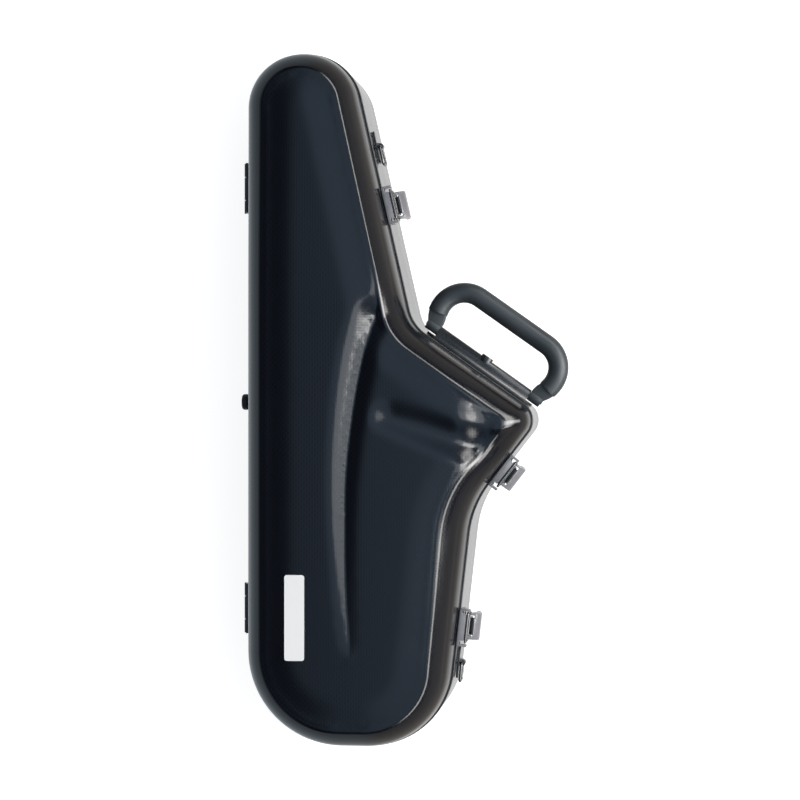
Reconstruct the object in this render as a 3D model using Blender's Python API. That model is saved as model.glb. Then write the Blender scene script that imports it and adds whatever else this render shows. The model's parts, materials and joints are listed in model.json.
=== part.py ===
"""Contoured hard case for an alto saxophone, lying on its back with the lid up.

Metres. The origin is the middle of the flat back face. +Y runs to the neck end, +X to the bell corner, +Z to
the lid. The hinges are on the -X side, the latches and the handle on the other.
"""

import math

import bmesh
import bpy
import numpy as np
from mathutils import Matrix, Vector
from mathutils.geometry import delaunay_2d_cdt

# Case
case_length = 0.650
case_width = 0.267
base_depth = 0.112
lid_height = 0.062
wall = 0.003
gap = 0.0003
overrun = 0.004
least_radius = 0.0005

# Outline at the seam, counter-clockwise from the neck end's left corner: x as a share of the width, y of the
# length, and the corner's radius as a share of the width.
outline_shares = (
    (-0.500, 0.500, 0.199),
    (-0.500, -0.500, 0.341),
    (0.195, -0.500, 0.300),
    (0.291, -0.152, 0.352),
    (0.532, -0.0240, 0.070),
    (0.0805, 0.1075, 0.141),
    (-0.1375, 0.500, 0.199),
)
arc_steps = (7, 8, 7, 3, 7, 3, 7)
line_steps = (4, 1, 3, 2, 2, 3, 1)
corner_slack_share = 0.99

# Base shell
base_draft = 0.0004
base_corner_radius = 0.014
base_corner_steps = 4

# Rims: each section runs from the outer face inward, and the tongue of the base stands behind the lid's leg
rim_flange = 0.0025
seam_half_gap = 0.0005
rim_leg_inset = 0.0037
lid_leg_thickness = 0.0010
lid_rim_height = 0.0134
lid_leg_height = 0.0164
rim_bead_height = 0.0014
rim_bead_flat_shares = (0.3, 0.7)
rim_bead_out = 0.0008
tongue_thickness = 0.0014
tongue_height = 0.004
base_leg_drop = 0.015
gasket_inset = 0.0023
gasket_width = 0.0010
gasket_height = 0.0016
gasket_seat_depth = 0.0014

# Lid shell: the wall curves in to a crest, and the height follows lid_top
crest_inset = 0.0195
wall_profile_shares = ((0.0, 0.0), (0.05, 0.19), (0.16, 0.43), (0.40, 0.69), (0.70, 0.88), (1.0, 1.0))
neck_fall = 0.008
neck_fall_start_share = 0.12
bow_fall = 0.004
bow_fall_start_share = 0.26
crown_rise = 0.0022
crown_reach = 0.030

# Long groove: its crease, from the crest beside the handle down to the bow, as shares of the length and width
crease_shares = (
    (0.148, 0.004),
    (0.092, -0.043),
    (0.031, -0.0955),
    (-0.031, -0.1385),
    (-0.115, -0.172),
    (-0.185, -0.174),
    (-0.277, -0.1535),
    (-0.363, -0.109),
)
plateau_step = 0.0050
step_fade_share = 0.45
groove_valley = 0.0040
groove_swell_power = 0.8
groove_left_width = 0.022
groove_left_power = 1.3
groove_right_width = 0.018
groove_right_power = 1.5
groove_end_width_share = 0.35
groove_stations = 12
groove_left_row_shares = (1.0, 0.45, 0.0)
groove_right_row_shares = (0.4, 1.0)

# Bell groove: it starts beside the bell and opens into the wall of the bow side
bell_groove_start_shares = (0.020, -0.0237)
bell_groove_end_shares = (0.370, -0.0731)
bell_groove_depth = 0.0095
bell_groove_start_depth_share = 0.45
bell_groove_half_width = 0.019
bell_groove_start_width_share = 0.85
bell_groove_widening_share = 0.35
bell_groove_power = 2.0
bell_groove_stations = 5
bell_groove_reach_share = 1.1
top_grid = 0.045
top_clearance = 0.004

# Blank plate on the lid
badge_width = 0.0183
badge_length = 0.0786
badge_thickness = 0.0010
badge_radius = 0.0022
badge_place_shares = (-0.303, -0.308)

# Hinges on the straight side
hinge_length = 0.047
hinge_axis_out = 0.0027
hinge_barrel_radius = 0.0023
hinge_bore_radius = 0.0013
hinge_pin_radius = 0.0010
hinge_leaf_thickness = 0.0016
hinge_leaf_height = 0.0112
hinge_middle_share = 0.46
hinge_place_shares = (0.306, -0.302)

# Side foot
foot_radius = 0.0075
foot_height = 0.0095
foot_drop = 0.0145
foot_place_share = -0.0036
foot_profile_shares = (
    (0.0, 1.0),
    (0.55, 1.0),
    (0.88, 0.96),
    (1.0, 0.82),
    (1.0, 0.45),
    (0.78, 0.30),
    (0.78, 0.0),
    (0.0, 0.0),
)

# Draw latches, each in its own frame: X along the seam, Y out of the wall, Z up from the seam
latch_edge_shares = ((5, 0.565), (3, 0.595), (2, 0.50))
keeper_width = 0.0352
keeper_bottom = 0.0012
keeper_height = 0.0104
keeper_plate = 0.0026
keeper_out = 0.0094
keeper_guard = 0.0018
keeper_shelf_width = 0.0240
keeper_shelf_height = 0.0022
keeper_shelf_level = 0.0060
keeper_back_out = 0.0062
keeper_lip = 0.0004
keeper_lip_width = 0.0005
bracket_width = 0.0300
bracket_plate = 0.0020
bracket_top = 0.0052
bracket_height = 0.0290
ear_thickness = 0.0020
ear_spread = 0.0190
ear_radius = 0.0030
pivot_out = 0.0080
pivot_drop = 0.0120
pivot_radius = 0.0013
lever_width = 0.0246
lever_cheek = 0.0018
lever_out = 0.0186
lever_length = 0.0330
lever_skin = 0.0022
bail_drop = 0.0070
bail_in = 0.0005
bail_wire_radius = 0.0012
bail_half_span = 0.0139
bail_corner = 0.0014
bail_bar_out = 0.0078

# Handle, in its own frame: X along the handle edge, Y out of the wall, Z up from its axis. Each arm is an arc
# that dips below its own centre and then runs straight to its eye.
handle_edge = 4
handle_edge_share = 0.496
handle_axis_out = 0.0094
handle_axis_drop = 0.0240
handle_half_span = 0.0590
handle_arc_radius = 0.0260
handle_arc_in = 0.0205
handle_arc_out = 0.0213
handle_arc_steps = 9
arm_dip_degrees = 20.0
grip_dip_degrees = 12.0
grip_end_run = 0.0010
grip_radius = 0.0095
grip_bore_radius = 0.0046
frame_rod_radius = 0.0040
frame_tab_width = 0.0170
frame_tab_thickness = 0.0088
frame_tab_gap = 0.0005
frame_tab_foot = 0.0060
frame_eye_radius = 0.0056
frame_eye_width = 0.0130
handle_rod_radius = 0.0022
handle_side_gap = 0.0005
handle_barrel_half_length = handle_half_span - frame_eye_width / 2 - handle_side_gap
handle_plate_half_length = 0.0600
handle_plate_height = 0.0300
handle_plate_thickness = 0.0028
handle_barrel_radius = 0.0042
handle_web_height = 0.0070
handle_bump_width = 0.0120
handle_bump_out = 0.0020
handle_end_washer = 0.0010

# Strap lugs, each in a frame like the latches'. The ring turns on an upright axis and lies along the wall.
lug_edge_shares = ((5, 0.336), (2, 0.660))
lug_length = 0.0310
lug_height = 0.0150
lug_plate = 0.0023
lug_drop = 0.0300
lug_boss_height = 0.0090
lug_boss_radius = 0.0032
lug_axis_out = 0.0047
lug_ring_wire = 0.0015
lug_ring_half_height = 0.0095
lug_ring_reach = 0.0175
lug_ring_corner = 0.0060

# Liners
liner_inset = 0.0070
liner_top_drop = 0.0060
liner_gap = 0.0006
base_liner_corner_radius = 0.0115
body_recess_floor = 0.0250
bell_recess_floor = 0.0140
mouthpiece_recess_floor = 0.0600
recess_corner_radius = 0.0080
recess_corner_steps = 2
recess_arc_steps = 6
lid_liner_thickness = 0.0080
lid_liner_level = 0.0046
lid_liner_inset = 0.0053
lid_liner_top_gap = 0.0020

# Recess outlines: x as a share of the width, y of the length, corner radius as a share of the width
body_recess_shares = (
    (-0.442, 0.455, 0.120),
    (-0.442, -0.466, 0.200),
    (-0.135, -0.466, 0.100),
    (-0.135, 0.050, 0.100),
    (-0.195, 0.455, 0.110),
)
bell_recess_shares = (
    (0.110, 0.072, 0.060),
    (-0.070, -0.230, 0.300),
    (-0.230, -0.340, 0.040),
    (-0.230, -0.466, 0.040),
    (0.142, -0.466, 0.200),
    (0.222, -0.160, 0.350),
    (0.445, -0.038, 0.050),
)
mouthpiece_recess_shares = (
    (-0.088, 0.088, 0.040),
    (-0.088, -0.052, 0.040),
    (0.004, -0.052, 0.040),
    (0.004, 0.088, 0.040),
)


def smooth(value):
    """Eased step from 0 to 1."""
    value = np.clip(value, 0, 1)
    return value * value * (3 - 2 * value)


def corner_points(shares):
    """Corners and radii in metres, from shares of the case's width and length."""
    corners = [Vector((x * case_width, y * case_length)) for x, y, _ in shares]
    radii = [radius * case_width for _, _, radius in shares]
    return corners, radii


def edge_directions(corners):
    count = len(corners)
    return [(corners[(i + 1) % count] - corners[i]).normalized() for i in range(count)]


def left_of(direction):
    return Vector((-direction.y, direction.x))


def turn_at(directions, i):
    before = directions[i - 1]
    return math.atan2(before.cross(directions[i]), before.dot(directions[i]))


def limited_radii(corners, radii):
    """Fillet radii that leave room for both fillets on every edge."""
    directions = edge_directions(corners)
    count = len(corners)
    radii = list(radii)
    for i in range(count):
        after = (i + 1) % count
        room = (corners[after] - corners[i]).length * corner_slack_share
        used = sum(radii[k] * math.tan(abs(turn_at(directions, k)) / 2) for k in (i, after))
        if used > room:
            radii[i] *= room / used
            radii[after] *= room / used
    return radii


def rounded_outline(shares, inset=0.0, arcs=None, lines=None):
    """Ring of plan points, counter-clockwise: the corners rounded and the whole moved in by inset."""
    corners, radii = corner_points(shares)
    radii = limited_radii(corners, radii)
    directions = edge_directions(corners)
    count = len(corners)
    arcs = arcs or (recess_arc_steps,) * count
    lines = lines or (1,) * count
    ring = []
    for i in range(count):
        before = left_of(directions[i - 1])
        after = left_of(directions[i])
        turn = turn_at(directions, i)
        side = math.copysign(1, turn)
        corner = corners[i] + (before + after) * inset / (1 + before.dot(after))
        radius = max(radii[i] - side * inset, least_radius)
        start = corner - directions[i - 1] * radius * math.tan(abs(turn) / 2)
        centre = start + before * side * radius
        if ring:
            last = ring[-1]
            steps = lines[i - 1]
            ring += [last.lerp(start, k / steps) for k in range(1, steps)]
        for k in range(arcs[i] + 1):
            ring.append(centre + Matrix.Rotation(turn * k / arcs[i], 2) @ (start - centre))
    last = ring[-1]
    steps = lines[-1]
    ring += [last.lerp(ring[0], k / steps) for k in range(1, steps)]
    return ring


def case_ring(inset):
    return rounded_outline(outline_shares, inset, arc_steps, line_steps)


def edge_distance(x, y):
    """Distance from plan points inside the case to the outline at the seam."""
    ring = np.array([tuple(p) for p in case_ring(0.0)])
    ends = np.roll(ring, -1, axis=0)
    along = ends - ring
    points = np.stack([x, y], axis=-1)[:, None, :]
    share = ((points - ring) * along).sum(-1) / (along * along).sum(-1)
    nearest = ring + along * np.clip(share, 0, 1)[..., None]
    return np.sqrt(((points - nearest) ** 2).sum(-1)).min(axis=1)


def crease_place(y):
    """x of the long groove's crease at y, and how far down the groove y is, from 0 to 1."""
    rows = np.array(crease_shares)
    knots_y = rows[::-1, 0] * case_length
    knots_x = rows[::-1, 1] * case_width
    slopes = np.gradient(knots_x, knots_y)
    cell = np.clip(np.searchsorted(knots_y, y) - 1, 0, len(knots_y) - 2)
    span = knots_y[cell + 1] - knots_y[cell]
    u = (y - knots_y[cell]) / span
    inside = np.clip(u, 0, 1)
    value = (
        knots_x[cell] * (2 * inside**3 - 3 * inside**2 + 1)
        + slopes[cell] * span * (inside**3 - 2 * inside**2 + inside)
        + knots_x[cell + 1] * (3 * inside**2 - 2 * inside**3)
        + slopes[cell + 1] * span * (inside**3 - inside**2)
    )
    value = value + np.minimum(u, 0) * span * slopes[cell]
    value = value + np.maximum(u - 1, 0) * span * slopes[cell + 1]
    down = (knots_y[-1] - y) / (knots_y[-1] - knots_y[0])
    return value, down


def groove_swell(down):
    """0 at both ends of the long groove, 1 in its middle."""
    return np.sin(math.pi * np.clip(down, 0, 1)) ** groove_swell_power


def groove_width(full_width, down):
    return full_width * (groove_end_width_share + (1 - groove_end_width_share) * groove_swell(down))


def bell_groove_frame():
    start = np.array(bell_groove_start_shares) * (case_width, case_length)
    end = np.array(bell_groove_end_shares) * (case_width, case_length)
    return start, end


def lid_top(x, y):
    """Height above the seam of the lid's outer face at plan points, from the crest inward."""
    x = np.asarray(x, float)
    y = np.asarray(y, float)
    half = case_length / 2
    to_neck = (y - neck_fall_start_share * case_length) / (half - neck_fall_start_share * case_length)
    to_bow = (-y - bow_fall_start_share * case_length) / (half - bow_fall_start_share * case_length)
    height = lid_height - neck_fall * smooth(to_neck) - bow_fall * smooth(to_bow)
    height = height - crown_rise * (1 - smooth((edge_distance(x, y) - crest_inset) / crown_reach))
    crease, down = crease_place(y)
    step = plateau_step * (1 - smooth((down - step_fade_share) / (1 - step_fade_share)))
    valley = groove_valley * groove_swell(down)
    offset = x - crease
    left = np.clip(1 + offset / groove_width(groove_left_width, down), 0, 1) ** groove_left_power
    right = np.clip(1 - offset / groove_width(groove_right_width, down), 0, 1) ** groove_right_power
    height = height - np.where(offset < 0, (step + valley) * left, step + valley * right)
    start, end = bell_groove_frame()
    length = np.linalg.norm(end - start)
    axis = (end - start) / length
    along = np.maximum((x - start[0]) * axis[0] + (y - start[1]) * axis[1], 0)
    side = np.hypot(x - start[0] - along * axis[0], y - start[1] - along * axis[1])
    spread_share = bell_groove_start_width_share + bell_groove_widening_share * along / length
    deepening_share = (1 - bell_groove_start_depth_share) * smooth(along / length)
    depth = bell_groove_depth * (bell_groove_start_depth_share + deepening_share)
    near = np.clip(1 - (side / (bell_groove_half_width * spread_share)) ** 2, 0, 1)
    return height - depth * near**bell_groove_power


def clear_scene():
    for found in list(bpy.data.objects):
        bpy.data.objects.remove(found)


def new_material(name, colour, roughness, metallic=0.0):
    material = bpy.data.materials.new(name)
    material.use_nodes = True
    shader = material.node_tree.nodes["Principled BSDF"]
    shader.inputs["Base Color"].default_value = (*colour, 1)
    shader.inputs["Roughness"].default_value = roughness
    shader.inputs["Metallic"].default_value = metallic
    return material


def new_object(name, bm, material, place=(0, 0, 0), parent=None):
    """A named object from a bmesh, with its faces turned outward and round parts shaded smooth."""
    bmesh.ops.recalc_face_normals(bm, faces=bm.faces)
    mesh = bpy.data.meshes.new(name)
    bm.to_mesh(mesh)
    bm.free()
    mesh.shade_smooth()
    mesh.set_sharp_from_angle(angle=math.radians(30))
    made = bpy.data.objects.new(name, mesh)
    bpy.context.scene.collection.objects.link(made)
    made.location = place
    if material:
        mesh.materials.append(material)
    if parent:
        made.parent = parent
    return made


def boolean(target, tool, operation):
    """Cuts or joins another object into this one, and keeps that object as a hidden helper."""
    modifier = target.modifiers.new(operation.title(), "BOOLEAN")
    modifier.operation = operation
    modifier.solver = "EXACT"
    modifier.object = tool
    tool.hide_render = True
    tool.display_type = "WIRE"


def new_frame(name, place, normal, parent=None):
    """An empty with X along the wall, Y out of it and Z up."""
    frame = bpy.data.objects.new(name, None)
    frame.parent = parent
    frame.location = Vector(place) - (parent.location if parent else Vector())
    frame.rotation_euler = (0, 0, math.atan2(normal.y, normal.x) - math.pi / 2)
    bpy.context.scene.collection.objects.link(frame)
    return frame


def wall_frame(name, edge, share, height, parent=None):
    """A frame on the seam outline, at a share of the way along one of its straight edges."""
    corners, _ = corner_points(outline_shares)
    direction = edge_directions(corners)[edge]
    following = corners[(edge + 1) % len(corners)]
    place = following.lerp(corners[edge], share)
    return new_frame(name, (*place, height), -left_of(direction), parent)


def band(bm, lower, upper):
    """Quads between two rings of vertices."""
    count = len(lower)
    for i in range(count):
        after = (i + 1) % count
        bm.faces.new((lower[i], lower[after], upper[after], upper[i]))


def ring_vertices(bm, ring, height):
    return [bm.verts.new((point.x, point.y, height)) for point in ring]


def extruded(points, depth, along="Z", middle=(0, 0, 0)):
    """Prism with this outline, centred on its own axis. Along X the outline is (y, z), along Y (x, z)."""
    bm = bmesh.new()
    places = {
        "X": lambda a, b, c: (c, a, b),
        "Y": lambda a, b, c: (a, c, b),
        "Z": lambda a, b, c: (a, b, c),
    }[along]
    rings = []
    for level in (-depth / 2, depth / 2):
        rings.append([bm.verts.new(Vector(places(a, b, level)) + Vector(middle)) for a, b in points])
    band(bm, *rings)
    bm.faces.new(rings[0])
    bm.faces.new(rings[1])
    return bm


def circle(radius, steps, centre=(0, 0)):
    """Plan points round a centre, with their flats at the true radius on average."""
    angles = [2 * math.pi * (k + 0.5) / steps for k in range(steps)]
    return [(centre[0] + radius * math.cos(a), centre[1] + radius * math.sin(a)) for a in angles]


def rectangle(left, right, bottom, top):
    return [(left, bottom), (right, bottom), (right, top), (left, top)]


def rounded_rectangle(width, height, radius, steps=4):
    """Outline of a rectangle about the origin with rounded corners."""
    points = []
    for quarter in range(4):
        middle = math.pi / 4 + quarter * math.pi / 2
        cx = math.copysign(width / 2 - radius, math.cos(middle))
        cy = math.copysign(height / 2 - radius, math.sin(middle))
        for k in range(steps + 1):
            angle = quarter * math.pi / 2 + math.pi / 2 * k / steps
            points.append((cx + radius * math.cos(angle), cy + radius * math.sin(angle)))
    return points


def filleted_path(points, radius, steps, closed=False):
    """3-D points of a path whose corners are arcs."""
    points = [Vector(p) for p in points]
    count = len(points)
    path = [] if closed else [points[0]]
    for i in range(0 if closed else 1, count if closed else count - 1):
        corner = points[i]
        before = (points[i - 1] - corner).normalized()
        after = (points[(i + 1) % count] - corner).normalized()
        angle = before.angle(after)
        reach = radius / math.tan(angle / 2)
        centre = corner + (before + after).normalized() * radius / math.sin(angle / 2)
        start = corner + before * reach - centre
        axis = start.cross(after * reach + corner - centre).normalized()
        for k in range(steps + 1):
            turn = Matrix.Rotation((math.pi - angle) * k / steps, 3, axis)
            path.append(centre + turn @ start)
    if not closed:
        path.append(points[-1])
    return path


def swept(path, radius, sides, closed=False, bore=None):
    """Round tube along a flat path, mitred at its points, with a through bore where one is given."""
    bm = bmesh.new()
    count = len(path)
    up = (path[1] - path[0]).cross(path[count // 2] - path[0]).normalized()
    walls = []
    for size in (radius, bore) if bore else (radius,):
        rings = []
        for i, point in enumerate(path):
            before = path[i - 1] if i or closed else point
            after = path[(i + 1) % count] if i < count - 1 or closed else point
            incoming = (point - before).normalized()
            outgoing = (after - point).normalized()
            forward = (incoming + outgoing).normalized()
            across = up.cross(forward)
            cosine = forward.dot(outgoing) or forward.dot(incoming)
            ring = []
            for k in range(sides):
                angle = 2 * math.pi * (k + 0.5) / sides
                side = across * math.cos(angle) / cosine + up * math.sin(angle)
                ring.append(bm.verts.new(point + side * size))
            rings.append(ring)
        for i in range(count if closed else count - 1):
            band(bm, rings[i], rings[(i + 1) % count])
        walls.append(rings)
    if not closed:
        for end in (0, -1):
            if bore:
                band(bm, walls[0][end], walls[1][end])
            else:
                bm.faces.new(walls[0][end])
    return bm


def rim(name, section, material, parent=None):
    """Closed profile run round the seam. Its section is (inset, height above the seam)."""
    bm = bmesh.new()
    rings = []
    for inset, height in section:
        ring = ring_vertices(bm, case_ring(inset), base_depth + height)
        rings.append(ring)
    for i, ring in enumerate(rings):
        band(bm, ring, rings[(i + 1) % len(rings)])
    if parent:
        bmesh.ops.translate(bm, verts=bm.verts, vec=-parent.location)
    return new_object(name, bm, material, parent=parent)


def top_features(inset):
    """Plan points and chains inside a crest ring: the groove's lines, the bell groove's and a wide grid."""
    chains = []
    down = np.linspace(0, 1, groove_stations)
    knots = np.array(crease_shares) * (case_length, case_width)
    y = knots[0, 0] + (knots[-1, 0] - knots[0, 0]) * down
    crease, _ = crease_place(y)
    left = groove_width(groove_left_width, down)
    right = groove_width(groove_right_width, down)
    shifts = [-share * left for share in groove_left_row_shares]
    shifts += [share * right for share in groove_right_row_shares]
    for shift in shifts:
        chains.append([(a, b) for a, b in zip(crease + shift, y)])
    start, end = bell_groove_frame()
    axis = (end - start) / np.linalg.norm(end - start)
    across = np.array((-axis[1], axis[0]))
    loose = []
    for station in np.linspace(0, bell_groove_reach_share, bell_groove_stations):
        for side in (-1, -0.5, 0, 0.5, 1):
            loose.append(tuple(start + (end - start) * station + across * side * bell_groove_half_width))
    loose.append(tuple(start - axis * bell_groove_half_width))
    columns = int(case_width / top_grid)
    rows = int(case_length / top_grid)
    taken = np.array([point for chain in chains for point in chain] + loose)
    for i in range(-columns, columns + 1):
        for k in range(-rows, rows + 1):
            point = np.array((i, k)) * top_grid
            if np.hypot(*(taken - point).T).min() > top_grid / 2:
                loose.append(tuple(point))
    inner = np.array([tuple(p) for p in case_ring(inset)])

    def inside(point):
        ahead = np.roll(inner, -1, axis=0)
        x, y = point
        crosses = (inner[:, 1] > y) != (ahead[:, 1] > y)
        rise = np.where(ahead[:, 1] == inner[:, 1], 1, ahead[:, 1] - inner[:, 1])
        at = inner[:, 0] + (y - inner[:, 1]) * (ahead[:, 0] - inner[:, 0]) / rise
        along = ahead - inner
        share = np.clip(((point - inner) * along).sum(1) / (along * along).sum(1), 0, 1)
        near = np.hypot(*(inner + along * share[:, None] - point).T).min()
        return (crosses & (x < at)).sum() % 2 == 1 and near > top_clearance

    kept_chains = []
    for chain in chains:
        run = []
        for point in chain:
            if inside(np.array(point)):
                run.append(point)
            elif run:
                kept_chains.append(run)
                run = []
        if run:
            kept_chains.append(run)
    return kept_chains, [point for point in loose if inside(np.array(point))]


def dome_surface(bm, inset, drop, edge):
    """Wall rings and contoured top of the lid, moved in by inset, down by drop. Returns the lowest ring."""
    crest = case_ring(crest_inset + inset)
    tops = lid_top([p.x for p in crest], [p.y for p in crest]) - drop
    rings = []
    for in_share, up_share in wall_profile_shares:
        ring = case_ring(crest_inset * in_share + inset)
        heights = base_depth + edge + (tops - edge) * up_share
        rings.append([bm.verts.new((p.x, p.y, z)) for p, z in zip(ring, heights)])
    for lower, upper in zip(rings, rings[1:]):
        band(bm, lower, upper)
    chains, loose = top_features(crest_inset + inset)
    points = [tuple(p) for p in crest]
    edges = []
    for chain in chains:
        edges += [(len(points) + k, len(points) + k + 1) for k in range(len(chain) - 1)]
        points += chain
    points += loose
    flat, _, faces, origins, _, _ = delaunay_2d_cdt(
        [Vector(p) for p in points], edges, [list(range(len(crest)))], 1, top_clearance / 1000
    )
    heights = base_depth + lid_top([p.x for p in flat], [p.y for p in flat]) - drop
    made = []
    for place, height, origin in zip(flat, heights, origins):
        on_ring = [k for k in origin if k < len(crest)]
        made.append(rings[-1][on_ring[0]] if on_ring else bm.verts.new((*place, height)))
    for face in faces:
        bm.faces.new([made[k] for k in face])
    return rings[0]


def dome(name, inset, drop, thickness, edge, material, parent):
    """Closed shell with the lid's form: an outer and an inner surface joined at the lower edge."""
    bm = bmesh.new()
    outer = dome_surface(bm, inset, drop, edge)
    inner = dome_surface(bm, inset + thickness, drop + thickness, edge)
    band(bm, outer, inner)
    bmesh.ops.translate(bm, verts=bm.verts, vec=-parent.location)
    return new_object(name, bm, material, parent=parent)


def tub_rings(foot_inset, top_inset, floor, radius, top):
    """Insets and heights of a tub's wall: a rounded foot, then a drafted wall to its top."""
    rows = []
    for k in range(base_corner_steps + 1):
        angle = math.pi / 2 * k / base_corner_steps
        rows.append((foot_inset + radius * (1 - math.sin(angle)), floor + radius * (1 - math.cos(angle))))
    rows.append((top_inset, top))
    return rows


def build_base_shell(material):
    top = base_depth - seam_half_gap - rim_flange - gap
    bm = bmesh.new()
    outer = [
        ring_vertices(bm, case_ring(inset), height)
        for inset, height in tub_rings(base_draft, 0.0, 0.0, base_corner_radius, top)
    ]
    inner = [
        ring_vertices(bm, case_ring(inset), height)
        for inset, height in tub_rings(wall + base_draft, wall, wall, base_corner_radius - wall, top)
    ]
    for rings in (outer, inner):
        for lower, upper in zip(rings, rings[1:]):
            band(bm, lower, upper)
        bm.faces.new(rings[0])
    band(bm, outer[-1], inner[-1])
    return new_object("base_shell", bm, material)


def build_rims(base_material, lid_material, gasket_material, lid_axis):
    tongue_inset = rim_leg_inset + lid_leg_thickness + gap
    leg_end = tongue_inset + tongue_thickness
    flange_low = -seam_half_gap - rim_flange
    seat = -seam_half_gap - gasket_seat_depth
    seat_left = gasket_inset - gap
    seat_right = gasket_inset + gasket_width + gap
    rim(
        "base_rim",
        (
            (0.0, flange_low),
            (0.0, -seam_half_gap),
            (seat_left, -seam_half_gap),
            (seat_left, seat),
            (seat_right, seat),
            (seat_right, -seam_half_gap),
            (tongue_inset, -seam_half_gap),
            (tongue_inset, tongue_height),
            (leg_end, tongue_height),
            (leg_end, -base_leg_drop),
            (rim_leg_inset, -base_leg_drop),
            (rim_leg_inset, flange_low),
        ),
        base_material,
    )
    leg_end = rim_leg_inset + lid_leg_thickness
    rim(
        "lid_rim",
        (
            (0.0, seam_half_gap),
            (0.0, lid_rim_height - rim_bead_height),
            (-rim_bead_out, lid_rim_height - (1 - rim_bead_flat_shares[0]) * rim_bead_height),
            (-rim_bead_out, lid_rim_height - (1 - rim_bead_flat_shares[1]) * rim_bead_height),
            (0.0, lid_rim_height),
            (rim_leg_inset, lid_rim_height),
            (rim_leg_inset, lid_leg_height),
            (leg_end, lid_leg_height),
            (leg_end, seam_half_gap),
        ),
        lid_material,
        lid_axis,
    )
    low = seat + gap
    rim(
        "seam_gasket",
        (
            (gasket_inset, low),
            (gasket_inset, low + gasket_height),
            (gasket_inset + gasket_width, low + gasket_height),
            (gasket_inset + gasket_width, low),
        ),
        gasket_material,
    )


def build_badge(material, lid_axis):
    """Blank plate on the flat part of the lid."""
    x = badge_place_shares[0] * case_width
    y = badge_place_shares[1] * case_length
    outline = rounded_rectangle(badge_width, badge_length, badge_radius)
    under = lid_top([x + a for a, _ in outline], [y + b for _, b in outline])
    middle = base_depth + float(under.max()) + gap + badge_thickness / 2
    place = Vector((x, y, middle)) - lid_axis.location
    new_object("badge_plate", extruded(outline, badge_thickness), material, place, lid_axis)


def hinge_leaf(name, up, knuckles, material, place, parent):
    """Leaf that lies on the wall above or below the pin, rolled round the pin where knuckles says."""
    outline = rectangle(
        hinge_axis_out - gap - hinge_leaf_thickness, hinge_axis_out - gap, 0.0, up * hinge_leaf_height
    )
    leaf = new_object(name, extruded(outline, hinge_length, "Y"), material, place, parent)
    barrel = new_object(
        name + "_barrel", extruded(circle(hinge_barrel_radius, 16), hinge_length, "Y"), None, place, parent
    )
    boolean(leaf, barrel, "UNION")
    reach = hinge_barrel_radius + 2 * gap
    for low, high in knuckles:
        slot = new_object(
            name + "_slot",
            extruded(
                rectangle(-overrun, overrun, -reach, reach),
                high - low,
                "Y",
                (0, (high + low) / 2, 0),
            ),
            None,
            place,
            parent,
        )
        boolean(leaf, slot, "DIFFERENCE")
    bore = new_object(
        name + "_bore",
        extruded(circle(hinge_bore_radius, 12), hinge_length + overrun, "Y"),
        None,
        place,
        parent,
    )
    boolean(leaf, bore, "DIFFERENCE")
    return leaf


def build_hinge(number, y, material, pin_material, lid_axis):
    half = hinge_length / 2
    middle = hinge_length * hinge_middle_share / 2
    place = Vector((lid_axis.location.x, y, base_depth))
    ends = ((-half - overrun, -middle + gap), (middle - gap, half + overrun))
    name = f"hinge_{number}"
    hinge_leaf(name + "_lid_leaf", 1, ends, material, place - lid_axis.location, lid_axis)
    hinge_leaf(name + "_base_leaf", -1, ((-middle - gap, middle + gap),), material, place, None)
    pin = extruded(circle(hinge_pin_radius, 12), hinge_length, "Y")
    new_object(name + "_pin", pin, pin_material, place)


def build_foot(material):
    """Domed rubber foot on the hinge side, turned about its own axis."""
    bm = bmesh.new()
    points = [
        bm.verts.new((0, radius_share * foot_radius, out_share * foot_height))
        for radius_share, out_share in foot_profile_shares
    ]
    edges = [bm.edges.new(pair) for pair in zip(points, points[1:])]
    bmesh.ops.spin(
        bm, geom=points + edges, cent=(0, 0, 0), axis=(0, 0, 1), steps=20, angle=2 * math.pi, use_merge=True
    )
    bmesh.ops.remove_doubles(bm, verts=bm.verts, dist=gap / 10)
    bmesh.ops.rotate(bm, verts=bm.verts, matrix=Matrix.Rotation(-math.pi / 2, 3, "Y"))
    place = (-case_width / 2 - gap, foot_place_share * case_length, base_depth - foot_drop)
    new_object("side_foot", bm, material, place)


def build_keeper(name, material, frame):
    """Catch on the lid: back plate, two side guards and the shelf that the bail's bar holds."""
    half = keeper_width / 2
    front = keeper_out
    shelf = keeper_shelf_width / 2
    guard = half - keeper_guard
    outline = [
        (-half, gap),
        (half, gap),
        (half, front),
        (guard, front),
        (guard, keeper_plate),
        (shelf, keeper_plate),
        (shelf, front),
        (-shelf, front),
        (-shelf, keeper_plate),
        (-guard, keeper_plate),
        (-guard, front),
        (-half, front),
    ]
    middle = keeper_bottom + keeper_height / 2
    block = extruded(outline, keeper_height, "Z", (0, 0, middle))
    keeper = new_object(name, block, material, parent=frame)
    seat_top = keeper_bottom + keeper_height + overrun
    seat = rectangle(keeper_back_out, front - keeper_lip_width, keeper_shelf_level, seat_top)
    over_lip = rectangle(keeper_back_out, front + overrun, keeper_shelf_level + keeper_lip, seat_top)
    under = rectangle(
        keeper_plate, front + overrun, keeper_bottom - overrun, keeper_shelf_level - keeper_shelf_height
    )
    width = keeper_shelf_width + 2 * gap
    for part, outline in (("seat", seat), ("over_lip", over_lip), ("under", under)):
        tool = new_object(f"{name}_{part}", extruded(outline, width, "X"), None, parent=frame)
        boolean(keeper, tool, "DIFFERENCE")
    return keeper


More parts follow.
